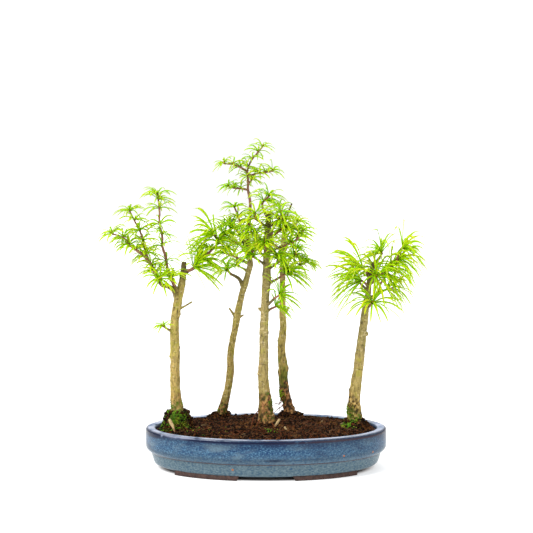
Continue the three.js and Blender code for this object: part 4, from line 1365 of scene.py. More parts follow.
@dataclass
class Soil:
    """The peat: level with the lip's inner edge, a little higher in the middle, with mounds.

    Relief is rows of a height, a size of lump and its salt, and back_slope is the places across
    the pot between which the peat rises towards its back.
    """

    oval: Oval = field(default_factory=Oval)
    edge_inset: float = 15.6
    edge_height: float = 54.2
    crown: float = 5.4
    back_rise: float = 2.4
    foot_inset: float = 21
    bottom: float = 13.4
    columns: int = 250
    rows: int = 196
    steep: float = 0.55
    ball_steep: float = 0.68
    steep_from: float = 75
    mound_foot: float = 1.1
    ragged: float = 3.5
    relief: tuple[Triple, ...] = ((1.5, 13, 1), (1.9, 5.2, 2), (1.4, 2.6, 3))
    back_slope: Pair = (20, 105)
    jitter: float = 0.45

    def share(self, places: Array) -> Array:
        """Returns how far out places lie: 0 in the middle, 1 where the peat ends."""
        return self.oval.share(places[..., 0], places[..., 1], self.edge_inset)

    def height(self, x: Array, y: Array) -> Array:
        """Finds the peat's surface.

        Args:
            x: Places along the pot, in millimetres.
            y: Places across it.

        Returns:
            The height at each place.
        """
        share = np.clip(self.oval.share(x, y, self.edge_inset), 0, 1)
        level = self.edge_height + self.crown * (1 - share**2)
        level += self.back_rise * ease(y, *self.back_slope)
        for tree in TREES:
            foot_x, foot_y = tree.trunk[1][:2]
            radius, top = tree.mound
            ball = np.stack((x, y, np.full_like(x, top)), -1)
            away = (np.hypot(x - foot_x, y - foot_y) + self.ragged * lumps(ball, 11, 4)) / radius
            steep = self.steep if top < self.steep_from else self.ball_steep
            mound = (top - level) * ease(-away, -self.mound_foot, -steep)
            level = level + np.maximum(mound, 0)
        spot = np.stack((x, y, np.zeros_like(x)), -1)
        rough = sum(most * lumps(spot, size, salt) for most, size, salt in self.relief)
        return level + rough * (1 - 0.75 * ease(share, 0.93, 1.0))

    def build(self) -> Piece:
        """Builds the peat as one closed body.

        Returns:
            The piece that stands for the packed soil.
        """
        u, v = np.meshgrid(np.linspace(-1, 1, self.columns), np.linspace(-1, 1, self.rows))
        x = (self.oval.half_length - self.edge_inset) * u * np.sqrt(1 - v * v / 2)
        y = (self.oval.half_depth - self.edge_inset) * v * np.sqrt(1 - u * u / 2)
        top = np.stack((x, y, self.height(x, y)), -1)
        jitter = self.jitter * np.stack([lumps(top, 2.2, salt) for salt in (5, 6)], -1)
        top[1:-1, 1:-1, :2] += jitter[1:-1, 1:-1]
        number = np.arange(top.shape[0] * top.shape[1]).reshape(top.shape[:2])
        faces = np.stack((number[:-1, :-1], number[:-1, 1:], number[1:, 1:], number[1:, :-1]), -1)
        rim = np.concatenate((number[0, :-1], number[:-1, -1], number[-1, :0:-1], number[:0:-1, 0]))
        flat = top.reshape(-1, 3)
        edge = flat[rim]
        inwards = self.foot_inset / self.edge_inset - 1
        skirt = edge.copy()
        skirt[:, :2] *= 1 - inwards * self.edge_inset / np.linalg.norm(edge[:, :2], axis=1)[:, None]
        skirt[:, 2] = self.bottom
        points = np.vstack((flat, skirt, (0, 0, self.bottom)))
        low = len(flat) + np.arange(len(rim))
        wall = np.stack((rim, low, np.roll(low, -1), np.roll(rim, -1)), -1)
        base = np.stack((low, np.full(len(rim), len(points) - 1), np.roll(low, -1)), -1)
        paint = np.zeros((len(points), 4))
        paint[:, 0] = ease(lumps(points, 21, 8), 0.1, 0.7)
        paint[:, 1] = ease(lumps(points, 7, 9), 0.15, 0.6)
        skin = Skin()
        skin.add(points, [faces.reshape(-1, 4), wall, base], paint)
        return place(skin.piece("peat", [Peat().dress()]), Slot.PEAT, "soil")


@dataclass
class Litter:
    """What lies on the peat: crumbs, fibres, chips, straws and rootlets.

    Clods are how many lie on the high root ball and on each low mound, crumb_size is the least
    size and how much more there may be, and a chip is its two ends, its width and how dark it is.
    """

    soil: Soil
    crumbs: int = 3000
    clods: tuple[int, int] = (198, 62)
    crumb_size: Pair = (0.7, 1.9)
    fibres: int = 650
    fibre_length: Pair = (6, 26)
    fibre_radius: Pair = (0.25, 0.6)
    rootlet_radius: Pair = (0.95, 0.4)
    clod_size: Pair = (1.6, 3.3)
    chips: tuple[tuple[Triple, Triple, float, float], ...] = (
        ((-138, -33, 73), (-128.5, -49, 54), 5.4, 0.0), ((19.5, -21, 71), (9.5, -27, 57), 4.4, 0.1),
        ((26, -36, 63), (33, -41, 56), 3.0, 0.15), ((9, -12, 76), (12.2, -20.5, 76.6), 5.2, 0.15),
        ((-94, -8, 60), (-84, 6, 60), 1.6, 0.4), ((80, 26, 59), (86, 40, 62), 2.6, 0.5),
        ((110, 14, 59), (118, 10, 61), 3.0, 0.35), ((-30, -70, 59), (-37, -76, 57), 1.6, 0.6),
    )
    rootlets: tuple[tuple[Triple, ...], ...] = (
        ((27, 78, 92), (22, 76, 86), (19.5, 75, 76), (22, 73, 66)),
        ((26, 78, 86), (20, 75, 80), (14, 72, 81), (9, 70, 77)),
        ((27, 79, 80), (22, 76, 75), (15, 73, 70), (10, 70, 64)),
        ((-10, -14, 84), (-17, -20, 76), (-21, -28, 63), (-27, -34, 55)),
        ((-8, -18, 72), (-13, -26, 64), (-15, -33, 58), (-24, -40, 54)),
        ((8, -19, 66), (13, -27, 60), (15, -35, 57), (12, -46, 55)),
    )

    def spots(self, rng: np.random.Generator, count: int, spread: float = 0.95) -> Array:
        """Picks random places on the peat, clear of the trunks.

        Args:
            rng: The random numbers.
            count: How many places.
            spread: How far out they may lie, as a share.

        Returns:
            The x and y of each.
        """
        turn = rng.uniform(0, 2 * math.pi, 4 * count)
        far = spread * np.sqrt(rng.uniform(0, 1, 4 * count))
        x = (self.soil.oval.half_length - self.soil.edge_inset) * far * np.cos(turn)
        y = (self.soil.oval.half_depth - self.soil.edge_inset) * far * np.sin(turn)
        free = np.ones(len(x), bool)
        for tree in TREES:
            free &= np.hypot(x - tree.trunk[1][0], y - tree.trunk[1][1]) > tree.trunk[1][3] + 2
        return np.stack((x, y), -1)[free][:count]

    def crumb_piece(self) -> Piece:
        """Scatters crumbs of peat and bark, and clods on the mounds.

        Returns:
            The piece, in which each crumb is a bent lump of its own.
        """
        rng = np.random.default_rng(11)
        spots = self.spots(rng, self.crumbs)
        least, more = self.crumb_size
        sizes = least + more * rng.random(len(spots)) ** 2.2
        for tree in TREES:
            radius, top = tree.mound
            count = self.clods[0] if top > self.soil.steep_from else self.clods[1]
            turn = rng.uniform(0, 2 * math.pi, count)
            far = radius * rng.uniform(0.5, 1.15, count)
            ring = np.stack((np.cos(turn), np.sin(turn)), -1) * far[:, None] + tree.trunk[1][:2]
            ring = ring[self.soil.share(ring) < 0.95]
            spots = np.vstack((spots, ring))
            sizes = np.append(sizes, rng.uniform(*self.clod_size, len(ring)))
        golden = (1 + 5**0.5) / 2
        corners = np.array([(0, a, b * golden) for a in (-1, 1) for b in (-1, 1)])
        lump = unit(np.vstack([np.roll(corners, shift, 1) for shift in (0, -1, 1)]))
        faces = hull_faces(lump)
        skin = Skin()
        for (x, y), size in zip(spots, sizes):
            form = lump * rng.uniform(0.7, 1.25, (12, 1))
            form = form * (size * rng.uniform(0.7, 1.5), size, size * rng.uniform(0.5, 0.9))
            turn = rng.uniform(0, 2 * math.pi)
            c, s = math.cos(turn), math.sin(turn)
            form = form @ np.array(((c, s, 0), (-s, c, 0), (0, 0, 1)))
            centre = (x, y, float(self.soil.height(np.array(x), np.array(y))) + 0.25 * size)
            paint = np.array((rng.random() ** 2.2, rng.random() ** 0.8, 0, 0))
            skin.add(form + centre, [faces], paint)
        return place(skin.piece("peat_crumbs", [Peat().dress()]), Slot.PEAT)

    def strand(self, rng: np.random.Generator, start: Array, length: float, girth: float) -> Array:
        """Lays one fibre on the peat.

        Args:
            rng: The random numbers.
            start: The x and y of its start.
            length: How long it is, in millimetres.
            girth: Its radius at the start.

        Returns:
            Its rows of x, y, z and radius.
        """
        steps = 8
        heading = rng.uniform(0, 2 * math.pi)
        bends = heading + np.cumsum(rng.normal(0, 0.32, steps))
        moves = np.stack((np.cos(bends), np.sin(bends)), -1) * length / steps
        path = start + np.vstack(((0, 0), np.cumsum(moves, 0)))
        hop = 0.5 + 1.4 * rng.random() * np.sin(np.linspace(0.3, 3.0, steps + 1))
        height = self.soil.height(path[:, 0], path[:, 1]) + hop
        share = np.linspace(0, 1, steps + 1)
        return np.column_stack((path, height, girth * (1 - 0.7 * share**2)))

    def fibre_piece(self) -> Piece:
        """Lays fibres and rootlets over the peat.

        Returns:
            The piece.
        """
        rng = np.random.default_rng(12)
        skin = Skin()
        for start in self.spots(rng, self.fibres, 0.9):
            length = rng.uniform(*self.fibre_length)
            line = self.strand(rng, start, length, rng.uniform(*self.fibre_radius))
            if (self.soil.share(line) < 0.985).all():
                paint = np.array((0.72 + 0.28 * rng.random() ** 0.5, rng.random(), 0, 0))
                skin.add(*tube(line, 4), paint)
        for route in self.rootlets:
            girth = np.linspace(*self.rootlet_radius, len(route))
            line, _ = rounded_route(np.column_stack((route, girth)), 2.0)
            skin.add(*tube(line, 6), np.array((0.95, 0.9, 0, 0)))
        return place(skin.piece("peat_fibres", [DeadWood().dress()]), Slot.PEAT)

    def chip_piece(self) -> Piece:
        """Lays the pale bark chips, straws and a cut root.

        Returns:
            The piece.
        """
        skin = Skin()
        sides = 9
        for start, stop, width, dark in self.chips:
            share = np.linspace(0, 1, 8)
            path = np.array(start) + share[:, None] * (np.array(stop) - start)
            path += 0.8 * np.stack([lumps(path, 5, salt) for salt in (61, 62, 63)], -1)
            taper = (1.02 - share**4 - 0.45 * share) * (0.7 + 0.3 * ease(share, 0, 0.2))
            girth = np.maximum(0.5 * width * taper, 0.3)
            points, faces = tube(np.column_stack((path, girth)), sides)
            middle = np.append(np.repeat(path[:, 1], sides), (path[0, 1], path[-1, 1]))
            points[:, 1] = middle + (points[:, 1] - middle) * 0.6
            paint = np.zeros((len(points), 4))
            low = ease(np.append(np.repeat(share, sides), (0, 1)), 0.45, 0.9)
            paint[:, 0] = dark + 0.25 * chance(np.arange(len(points)), 3) + 0.3 * low
            paint[:, 1] = low
            skin.add(points, faces, paint)
        return place(skin.piece("bark_chips", [DeadWood().dress()]), Slot.PEAT)

    def build(self) -> list[Piece]:
        """Builds all that lies on the peat."""
        return [self.crumb_piece(), self.fibre_piece(), self.chip_piece()]


def hull_faces(points: Array) -> Array:
    """Wraps a few points round the origin.

    Args:
        points: The points, none of them inside the others' hull.

    Returns:
        The three-cornered faces of their hull.
    """
    found = []
    for i, j, k in np.array(np.meshgrid(*[range(len(points))] * 3)).T.reshape(-1, 3):
        if i < j and i < k and j != k:
            normal = np.cross(points[j] - points[i], points[k] - points[i])
            if normal @ points[i] > 1e-6 and ((points - points[i]) @ normal).max() < 1e-6:
                found.append((i, j, k))
    return np.array(found)


@dataclass
class MossPatch:
    """A cushion of moss: leaflets that stand on the peat, round its centre and as far as its reach."""

    name: str
    soil: Soil
    centre: Pair
    reach: Pair
    leaflets: int
    gaps: float
    length: float
    salt: int

    def places(self, rng: np.random.Generator) -> tuple[Array, Array]:
        """Roots the leaflets.

        Args:
            rng: The random numbers.

        Returns:
            Where each stands, and the way out of the ground there.
        """
        spots = rng.normal(0, 0.5, (self.leaflets * 4, 2)) * self.reach + self.centre
        spot = np.column_stack((spots, np.zeros(len(spots))))
        grown = lumps(spot, 8, self.salt + 40) + 0.6 * lumps(spot, 3.5, self.salt + 41) > self.gaps
        grown &= self.soil.share(spots) < 0.97
        x, y = spots[grown][: self.leaflets].T
        height, step = self.soil.height(x, y), 0.8
        slope = [self.soil.height(x + step, y) - height, self.soil.height(x, y + step) - height]
        normal = unit(np.column_stack((-slope[0], -slope[1], np.full(len(x), step))))
        return np.column_stack((x, y, height - 0.5)), normal

    def build(self) -> Piece:
        """Builds the cushion of leaflets, each a slim body on three sides.

        Returns:
            The piece.
        """
        rng = np.random.default_rng(self.salt)
        base, normal = self.places(rng)
        count = len(base)
        way = unit(normal + 0.75 * rng.normal(0, 0.55, (count, 3)))
        length = self.length * rng.uniform(0.6, 1.3, count)[:, None]
        side = unit(np.cross(way, rng.normal(0, 1, (count, 3))))
        over = np.cross(way, side)
        middle = base + way * length * 0.45
        width = 0.34 * length
        ring = [middle + width * (side * math.cos(a) + over * math.sin(a)) for a in (0, 2.1, 4.2)]
        points = np.stack((base, *ring, base + way * length), 1)
        star = np.array([(0, 2, 1), (0, 3, 2), (0, 1, 3), (4, 1, 2), (4, 2, 3), (4, 3, 1)])
        faces = (star[None] + 5 * np.arange(count)[:, None, None]).reshape(-1, 3)
        paint = np.zeros((count, 5, 4))
        patch = 0.45 + 0.75 * ease(lumps(base, 6, self.salt + 5), -0.4, 0.6)
        bright = patch[:, None] * rng.uniform(0.45, 1.4, (count, 1))
        paint[..., 0] = np.array((0.1, 0.5, 0.5, 0.5, 0.95)) * bright
        paint[..., 1] = ease(lumps(base, 8, self.salt), 0, 0.8)[:, None] * 0.8
        skin = Skin()
        skin.add(points, [faces], np.clip(paint, 0, 1).reshape(-1, 4))
        return place(skin.piece(self.name, [Moss().dress()]), Slot.PEAT)


@dataclass
class Trunk:
    """A tree's trunk with its bare wood: a smooth line with bark relief, knots and a flared foot.

    Flare and warm are the heights between which the flared lobes and the warm colour fade out.
    Bulge is how far from its start a bare limb is thickest, and how wide that stretch is.
    Reliefs are rows of a height anywhere, a height more at the foot, a size of lump and its salt.
    """

    tree: Tree
    step: float = 1.5
    sides: int = 44
    salt: int = 1
    rough_from: float = 56
    warm: Pair = (90, 190)
    warm_share: float = 0.42
    grey_from: float = 60
    bulge: Pair = (4, 5)
    bulge_depth: float = 0.45
    limb_grain: float = 0.16
    # How far down from the top the painted shade of the foliage reaches, in millimetres.
    shaded_tip: float = 40
    limb_dark: Pair = (0.6, 0.2)
    flare: Pair = (54, 84)
    flare_depth: float = 1.8
    lobes: int = 5
    ragged: float = 9
    reliefs: tuple[tuple[float, float, Triple, int], ...] = (
        (0.3, 0, (2.6, 2.6, 7), 0), (0.22, 0, (1.9, 1.9, 1.9), 1), (0.28, 0, (9, 9, 2.2), 4),
        (0.4, 1.2, (6, 6, 9), 2), (0, 0.9, (2.6, 2.6, 3), 3),
    )
    plate: float = 1.9
    limb_sides: int = 14
    bark: Bark = field(default_factory=Bark)

    @cached_property
    def line(self) -> Array:
        """The line of the trunk, its sawn top a little rounded.

        Returns:
            Its rows of x, y, z and radius.
        """
        rows, _ = rounded_route(np.array(self.tree.trunk, float), self.step)
        rows[-1, 3] *= 0.82
        return rows

    @cached_property
    def knots(self) -> Array:
        """The knots' places and radii."""
        return np.array(self.tree.knots, float)

    def relief(self, surface: Array, outward: Array) -> Array:
        """Finds the relief of the bark.

        Args:
            surface: Points on the smooth trunk.
            outward: The ways out of it there.

        Returns:
            How far the bark stands out at each, in millimetres.
        """
        height = surface[..., 2]
        foot = 1 - ease(height, self.rough_from, self.tree.rough_top)
        salt = 10 * self.salt
        rough = sum(
            (even + more * foot) * lumps(surface, size, salt + extra)
            for even, more, size, extra in self.reliefs
        )
        rough += self.plate * foot * (0.35 - np.abs(lumps(surface, (5, 5, 6), salt + 5)))
        turn = np.arctan2(outward[..., 1], outward[..., 0])
        flare = 1 - ease(height, *self.flare)
        rough += self.flare_depth * flare * np.cos(self.lobes * turn + self.salt)
        for x, y, z, radius in self.knots:
            away = np.linalg.norm(surface - (x, y, z), axis=-1)
            rough += 0.75 * radius * hump(away, 0, 1.25 * radius)
        return rough

    def limb_relief(self, surface: Array, _: Array) -> Array:
        """Returns how far a bare limb's bark stands out at surface points, in millimetres."""
        return self.limb_grain * lumps(surface, (1.8, 1.8, 3), self.salt + 90)

    def painted(self, points: Array) -> Array:
        """Paints the bark, as Bark names its paint.

        Args:
            points: Places on it.

        Returns:
            The four numbers of the paint at each.
        """
        height = points[:, 2]
        top = self.line[-1, 2]
        paint = np.zeros((len(points), 4))
        risen = (height - self.grey_from) / (top - self.grey_from)
        paint[:, 0] = np.clip(risen + self.tree.weathered, 0, 1)
        for x, y, z, radius in self.knots:
            away = np.linalg.norm(points - (x, y, z), axis=-1)
            paint[:, 1] += 0.85 * np.exp(-((away / (0.8 * radius)) ** 4))
        # Painted shade: the trunk's top is darkened where its foliage shades it.
        tip = ease(height, top - self.shaded_tip, top - 0.4 * self.shaded_tip)
        paint[:, 1] = np.maximum(paint[:, 1], 0.75 * tip)
        paint[:, 1] += 0.4 * ease(lumps(points, (4, 4, 7), self.salt + 70), 0.62, 0.8)
        ragged = height + self.ragged * lumps(points, (5, 5, 8), self.salt + 71)
        foot = 1 - ease(ragged, self.tree.rough_top - 22, self.tree.rough_top + 2)
        # Darkens the hollows of the foot's bark relief: partly the darker bark of its crevices, partly
        # painted shade in them.
        crack_shade = -lumps(points, (2.6, 2.6, 3), 10 * self.salt + 3)
        paint[:, 1] += 0.9 * foot * ease(crack_shade, 0.05, 0.5)
        warm = ease(lumps(points, (9, 9, 30), self.salt + 73), -0.5, 0.5)
        warm *= 1 - ease(height, *self.warm)
        paint[:, 3] = np.maximum(0.9 * foot, self.warm_share * warm)
        low, high, most = self.tree.crust
        grown = ease(height, low - 6, low + 6) * (1 - ease(height, high - 10, high + 4))
        paint[:, 2] = most * grown * ease(lumps(points, (4, 4, 7), self.salt + 72), -0.45, 0.25)
        return np.clip(paint, 0, 1)

    def build(self, wood: list[Array], leafy: list[bool]) -> Piece:
        """Builds the trunk and its bare limbs as one piece.

        Args:
            wood: The rows of each bare limb, from within the trunk outwards.
            leafy: Whether each goes on as a leafy stem, whose wood is darker.

        Returns:
            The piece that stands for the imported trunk.
        """
        skin = Skin()
        points, faces = tube(self.line, self.sides, self.relief)
        skin.add(points, faces, self.painted(points))
        for rows, dark in zip(wood, (self.limb_dark[not part] for part in leafy)):
            away = np.linalg.norm(rows[:, :3] - rows[0, :3], axis=1)
            grown = rows.copy()
            grown[:, 3] *= 1 + self.bulge_depth * hump(away, *self.bulge)
            points, faces = tube(grown, self.limb_sides, self.limb_relief)
            paint = self.painted(points)
            out = np.linalg.norm(points - rows[0, :3], axis=1)
            paint[:, 1] = np.maximum(paint[:, 1], dark * ease(out, 3, 12))
            skin.add(points, faces, paint)
        name = f"{self.tree.name}_trunk"
        return place(skin.piece(f"{name}_bark", [self.bark.dress()]), Slot.BARK, name)


@dataclass
class TrunkMoss(MossPatch):
    """A tuft of moss on a trunk: centre is its height and its angle round the trunk, in degrees."""

    trunk: Trunk

    def places(self, rng: np.random.Generator) -> tuple[Array, Array]:
        """Roots the leaflets.

        Args:
            rng: The random numbers.

        Returns:
            Where each stands, and the way out of the bark there.
        """
        spots = rng.normal(0, 0.5, (self.leaflets * 3, 2)) * self.reach + self.centre
        row = np.abs(self.trunk.line[None, :, 2] - spots[:, :1]).argmin(1)
        turn = np.radians(spots[:, 1])
        outward = np.stack((np.cos(turn), np.sin(turn), np.zeros(len(turn))), -1)
        core = self.trunk.line[row, :3] * (1, 1, 0) + spots[:, :1] * UP
        surface = core + outward * self.trunk.line[row, 3:]
        grown = lumps(surface, 4, self.salt + 40) > self.gaps
        surface += outward * (self.trunk.relief(surface, outward)[:, None] - 0.4)
        return surface[grown][: self.leaflets], outward[grown][: self.leaflets]


@dataclass
class Wood:
    """The wood that needles keep clear of: points on its lines, and radii there."""

    points: list[Array] = field(default_factory=list)

    def clears(self, lines: Array, room: float) -> Array:
        """Tells which needles stay out of the wood.

        Args:
            lines: The needles' rows, needle by needle.
            room: The least clearance, in millimetres.

        Returns:
            True for each needle that is clear.
        """
        wood = np.vstack(self.points)
        away = np.linalg.norm(lines[:, 3:, None] - wood[None, None, :, :3], axis=-1)
        return (away > wood[:, 3] + room).all(axis=(1, 2))


@dataclass
class Blades:
    """Makes needles: flat blades with a keel underneath, widest before their middle."""

    width: float = 2.85
    thickness: float = 0.9
    rows: int = 8
    shape: tuple[float, ...] = (0.5, 0.76, 0.92, 1.0, 1.0, 0.96, 0.86, 0.62)
    droop_power: float = 1.4

    def lines(self, roots: Array, outward: Array, lengths: Array, curl: Array, droop: float) -> Array:
        """Bends needles' centre lines.

        Args:
            roots: Where each needle starts.
            outward: The way each one sets off.
            lengths: Their lengths.
            curl: A sideways push for each, which grows along it.
            droop: How much they sag.

        Returns:
            The rows of each needle, root to tip.
        """
        points = [roots]
        for i in range(self.rows):
            middle = (i + 0.5) / self.rows
            way = outward - droop * middle**self.droop_power * UP + curl * middle
            points.append(points[-1] + unit(way) * lengths[:, None] / self.rows)
        return np.stack(points, 1)

    def grow(
        self, skin: Skin, lines: Array, axis: Array, roll: Array, tints: Array, size: float
    ) -> None:
        """Adds needles to a piece.

        Args:
            skin: The piece in the making.
            lines: The needles' rows.
            axis: The way that the rosette faces.
            roll: How far each needle is turned about its own line, in radians.
            tints: Painted shade and yellowness of each needle.
            size: How wide they are, as a share of the usual width.
        """
        count = len(lines)
        along = unit(np.gradient(lines, axis=1))
        level = unit(np.cross(axis, along))
        down = np.cross(level, along)
        turn = roll[:, None, None]
        side = level * np.cos(turn) + down * np.sin(turn)
        keel = np.cross(side, along)
        half = 0.5 * size * self.width * np.array(self.shape)[None, :, None]
        deep = self.thickness * np.array(self.shape)[None, :, None]
        spine, side, keel = lines[:, :-1], side[:, :-1], keel[:, :-1]
        ring = (spine + side * half - keel * deep * 0.2, spine + keel * deep * 0.1)
        ring += (spine - side * half - keel * deep * 0.2, spine + keel * deep * 0.7)
        section = np.stack(ring, 2)
        points = np.concatenate((section.reshape(count, -1, 3), lines[:, -1:]), 1)
        per = 4 * self.rows + 1
        first = per * np.arange(count)[:, None, None]
        walls = (ring_faces(self.rows, 4)[None] + first).reshape(-1, 4)
        roots = (np.array([[3, 2, 1, 0]])[None] + first).reshape(-1, 4)
        last = 4 * (self.rows - 1)
        tip = np.array([(last + j, last + (j + 1) % 4, per - 1) for j in range(4)])
        tips = (tip[None] + first).reshape(-1, 3)
        paint = np.zeros((count, per, 4))
        paint[..., 0] = np.append(np.repeat(np.arange(self.rows) / self.rows, 4), 1.0)
        paint[..., 1:3] = tints[:, None]
        skin.add(points, [walls, roots, tips], paint.reshape(-1, 4))


@dataclass
class Spray:
    """A leafy stem: thin shoots with spurs, and on each spur a bud and a rosette of needles.

    Upward, forward (along the stem and at its tip) and sideways turn a spur. Scatter is how many
    degrees needles stray from their fan and from their turn. Lengths are the least share of the
    usual length and how much more age and chance give, shoot_reach is a side shoot's least length
    and how much more there may be, and room is how far needles keep from wood. Spur and bud are
    rows of a height and a radius.
    """

    limb: Limb
    stems: list[Array]
    first_number: int
    wood: Wood
    blades: Blades = field(default_factory=Blades)
    depth: float = 0.1
    yellow: float = 0.45
    most_roll: float = 0.7
    upward: float = 0.7
    forward: Pair = (0.2, 0.45)
    sideways: float = 0.35
    scatter: Pair = (14, 20)
    lengths: Triple = (0.72, 0.25, 0.2)
    shoot_reach: Pair = (7, 9)
    room: float = 0.8
    spur: tuple[Pair, ...] = ((-0.6, 1.5), (0.7, 1.6), (1.7, 1.45), (2.4, 0.8))
    bud: tuple[Pair, ...] = ((1.6, 0.8), (2.4, 1.2), (3.3, 1.0), (4.2, 0.3))

    def axis(self, along: Array, order: int, at_tip: bool, lean: Triple) -> Array:
        """Turns a spur, by the golden angle round its stem, and upwards.

        Args:
            along: The stem's direction.
            order: The spur's place in its stem's row.
            at_tip: Whether it ends the stem.
            lean: How the limb tilts it.

        Returns:
            The way that the spur faces.
        """
        level = np.cross(along, UP)
        side = unit(level) if level @ level > 1e-4 else np.array((1.0, 0, 0))
        over = np.cross(side, along)
        way = self.upward * UP + np.array(lean)
        if at_tip:
            return unit(way + self.forward[1] * along)
        turn = GOLDEN_ANGLE * order
        outward = side * math.cos(turn) + over * math.sin(turn)
        return unit(way + self.forward[0] * along + self.sideways * outward)

    def side_shoot(
        self, skin: Skin, limb: Limb, stem: Array, along: Array, order: int, number: int
    ) -> None:
        """Adds a short side shoot that ends in a rosette.

        Args:
            skin: The piece in the making.
            limb: The stem's own values.
            stem: The stem's rows.
            along: The stem's direction at each row.
            order: The shoot's place in its stem's row.
            number: The rosette's number in the whole planting.
        """
        row = int((0.15 + 0.75 * (order + 0.5) / limb.shoots) * (len(stem) - 1))
        way = self.axis(along[row], order + 2, False, limb.lean)
        reach = self.shoot_reach[0] + self.shoot_reach[1] * float(chance(number, 6))
        start = stem[row, :3]
        bend = start + way * reach * 0.5 - UP * 0.8
        tip = start + way * reach + UP * 0.6
        radii = (0.9 * stem[row, 3], 0.9, 0.75)
        rows, _ = rounded_route(np.column_stack(((start, bend, tip), radii)), 2.0)
        skin.add(*tube(rows, 8), np.array((0, 0.3, 0, 0)), 1)
        stray = np.array([float(chance(number, salt)) - 0.5 for salt in (7, 8, 9)])
        axis = unit(way + 0.6 * UP + 0.8 * stray)
        self.rosette(skin, limb, tip, unit(tip - bend), axis, False, number)

    def rosette(
        self, skin: Skin, limb: Limb, centre: Array, along: Array, axis: Array,
        at_tip: bool, number: int
    ) -> None:
        """Adds a spur, its bud and its needles.

        Args:
            skin: The piece in the making.
            limb: The stem's own values.
            centre: The spur's place on the stem.
            along: The stem's direction there.
            axis: The way that the spur faces.
            at_tip: Whether the spur ends its stem.
            number: The rosette's number in the whole planting.
        """
        side = unit(np.cross(axis, (0.2, 0.9, 0.4)))
        over = np.cross(axis, side)
        total = limb.dense * limb.needles
        i = np.arange(total)
        age = (i + 0.5) / total
        polar = limb.fan[0] + (limb.fan[1] - limb.fan[0]) * np.sqrt(age)
        polar = np.radians(polar + self.scatter[0] * (chance(i, number) - 0.5))[:, None]
        stray = np.radians(self.scatter[1] * (chance(i + 50, number) - 0.5))
        around = (GOLDEN_ANGLE * i + stray)[:, None]
        outward = np.sin(polar) * (np.cos(around) * side + np.sin(around) * over)
        outward = np.cos(polar) * axis + outward
        least, older, luck = self.lengths
        length = limb.needle * (least + older * age + luck * chance(i + 100, number))
        slide = 3 * (chance(i + 150, number) - 0.5) - (1.5 if at_tip else 0)
        roots = centre + along * slide[:, None] * 0.6 + axis * 1.2
        curl = (chance(i + 200, number) - 0.5)[:, None] * 0.6 * np.cross(axis, outward)
        lines = self.blades.lines(roots, outward, length, curl, limb.droop)
        kept = self.wood.clears(lines, self.room)
        # Painted shade: needles nearest the rosette's middle turn a deeper green, more so on trees with
        # more depth.
        shade = (0.4 + 0.6 * self.depth) * (1 - age) * chance(i + 250, number)
        old = ease(chance(i + 300, number), 0.78, 1.0) + 0.4 * float(chance(number, 5) > 0.88)
        tints = np.stack((self.depth + shade, self.yellow * old), -1)
        roll = self.most_roll * (chance(i + 400, number) * 2 - 1)
        size = float(np.clip(0.45 + limb.needle / 65, 0.8, 1.1))
        self.blades.grow(skin, lines[kept], axis, roll[kept], tints[kept], size)
        for shape, dark, budlike in ((self.spur, 0.45, 0.15), (self.bud, 0.1, 0.9)):
            rows = np.array([(*(centre + axis * height), radius) for height, radius in shape])
            skin.add(*tube(rows, 8), np.array((0, dark, budlike, 0)), 1)

    def relief(self, surface: Array, _: Array) -> Array:
        """Returns how far a shoot's bark stands out at surface points, in millimetres."""
        return 0.12 * lumps(surface, 1.6, 33) + 0.1 * lumps(surface, 4, 34)

    def build(self, needle: Material, twig: Material) -> Piece:
        """Builds the spray.

        Args:
            needle: The needles' material.
            twig: The shoots' material.

        Returns:
            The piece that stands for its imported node.
        """
        skin = Skin()
        number = self.first_number
        for limb, stem in zip((self.limb, *self.limb.branches), self.stems):
            steps = np.linalg.norm(np.diff(stem[:, :3], axis=0), axis=1)
            shares = np.append(0, np.cumsum(steps)) / steps.sum()
            along, _, _ = frames_along(stem[:, :3])
            points, faces = tube(stem, 10, self.relief)
            paint = np.zeros((len(points), 4))
            paint[:, 1] = 0.5 * ease(lumps(points, 6, 35), -0.2, 0.7)
            skin.add(points, faces, paint, 1)
            for order, share in enumerate(limb.spurs):
                number += 1
                row = int(np.searchsorted(shares, share - 1e-9).clip(0, len(stem) - 1))
                axis = self.axis(along[row], order, share == 1, limb.lean)
                self.rosette(skin, limb, stem[row, :3], along[row], axis, share == 1, number)
            for k in range(limb.shoots):
                self.side_shoot(skin, limb, stem, along, k, 1000 + 10 * number + k)
        name = self.limb.name
        return place(skin.piece(f"{name}_spray", [needle, twig]), Slot.FOLIAGE, name)


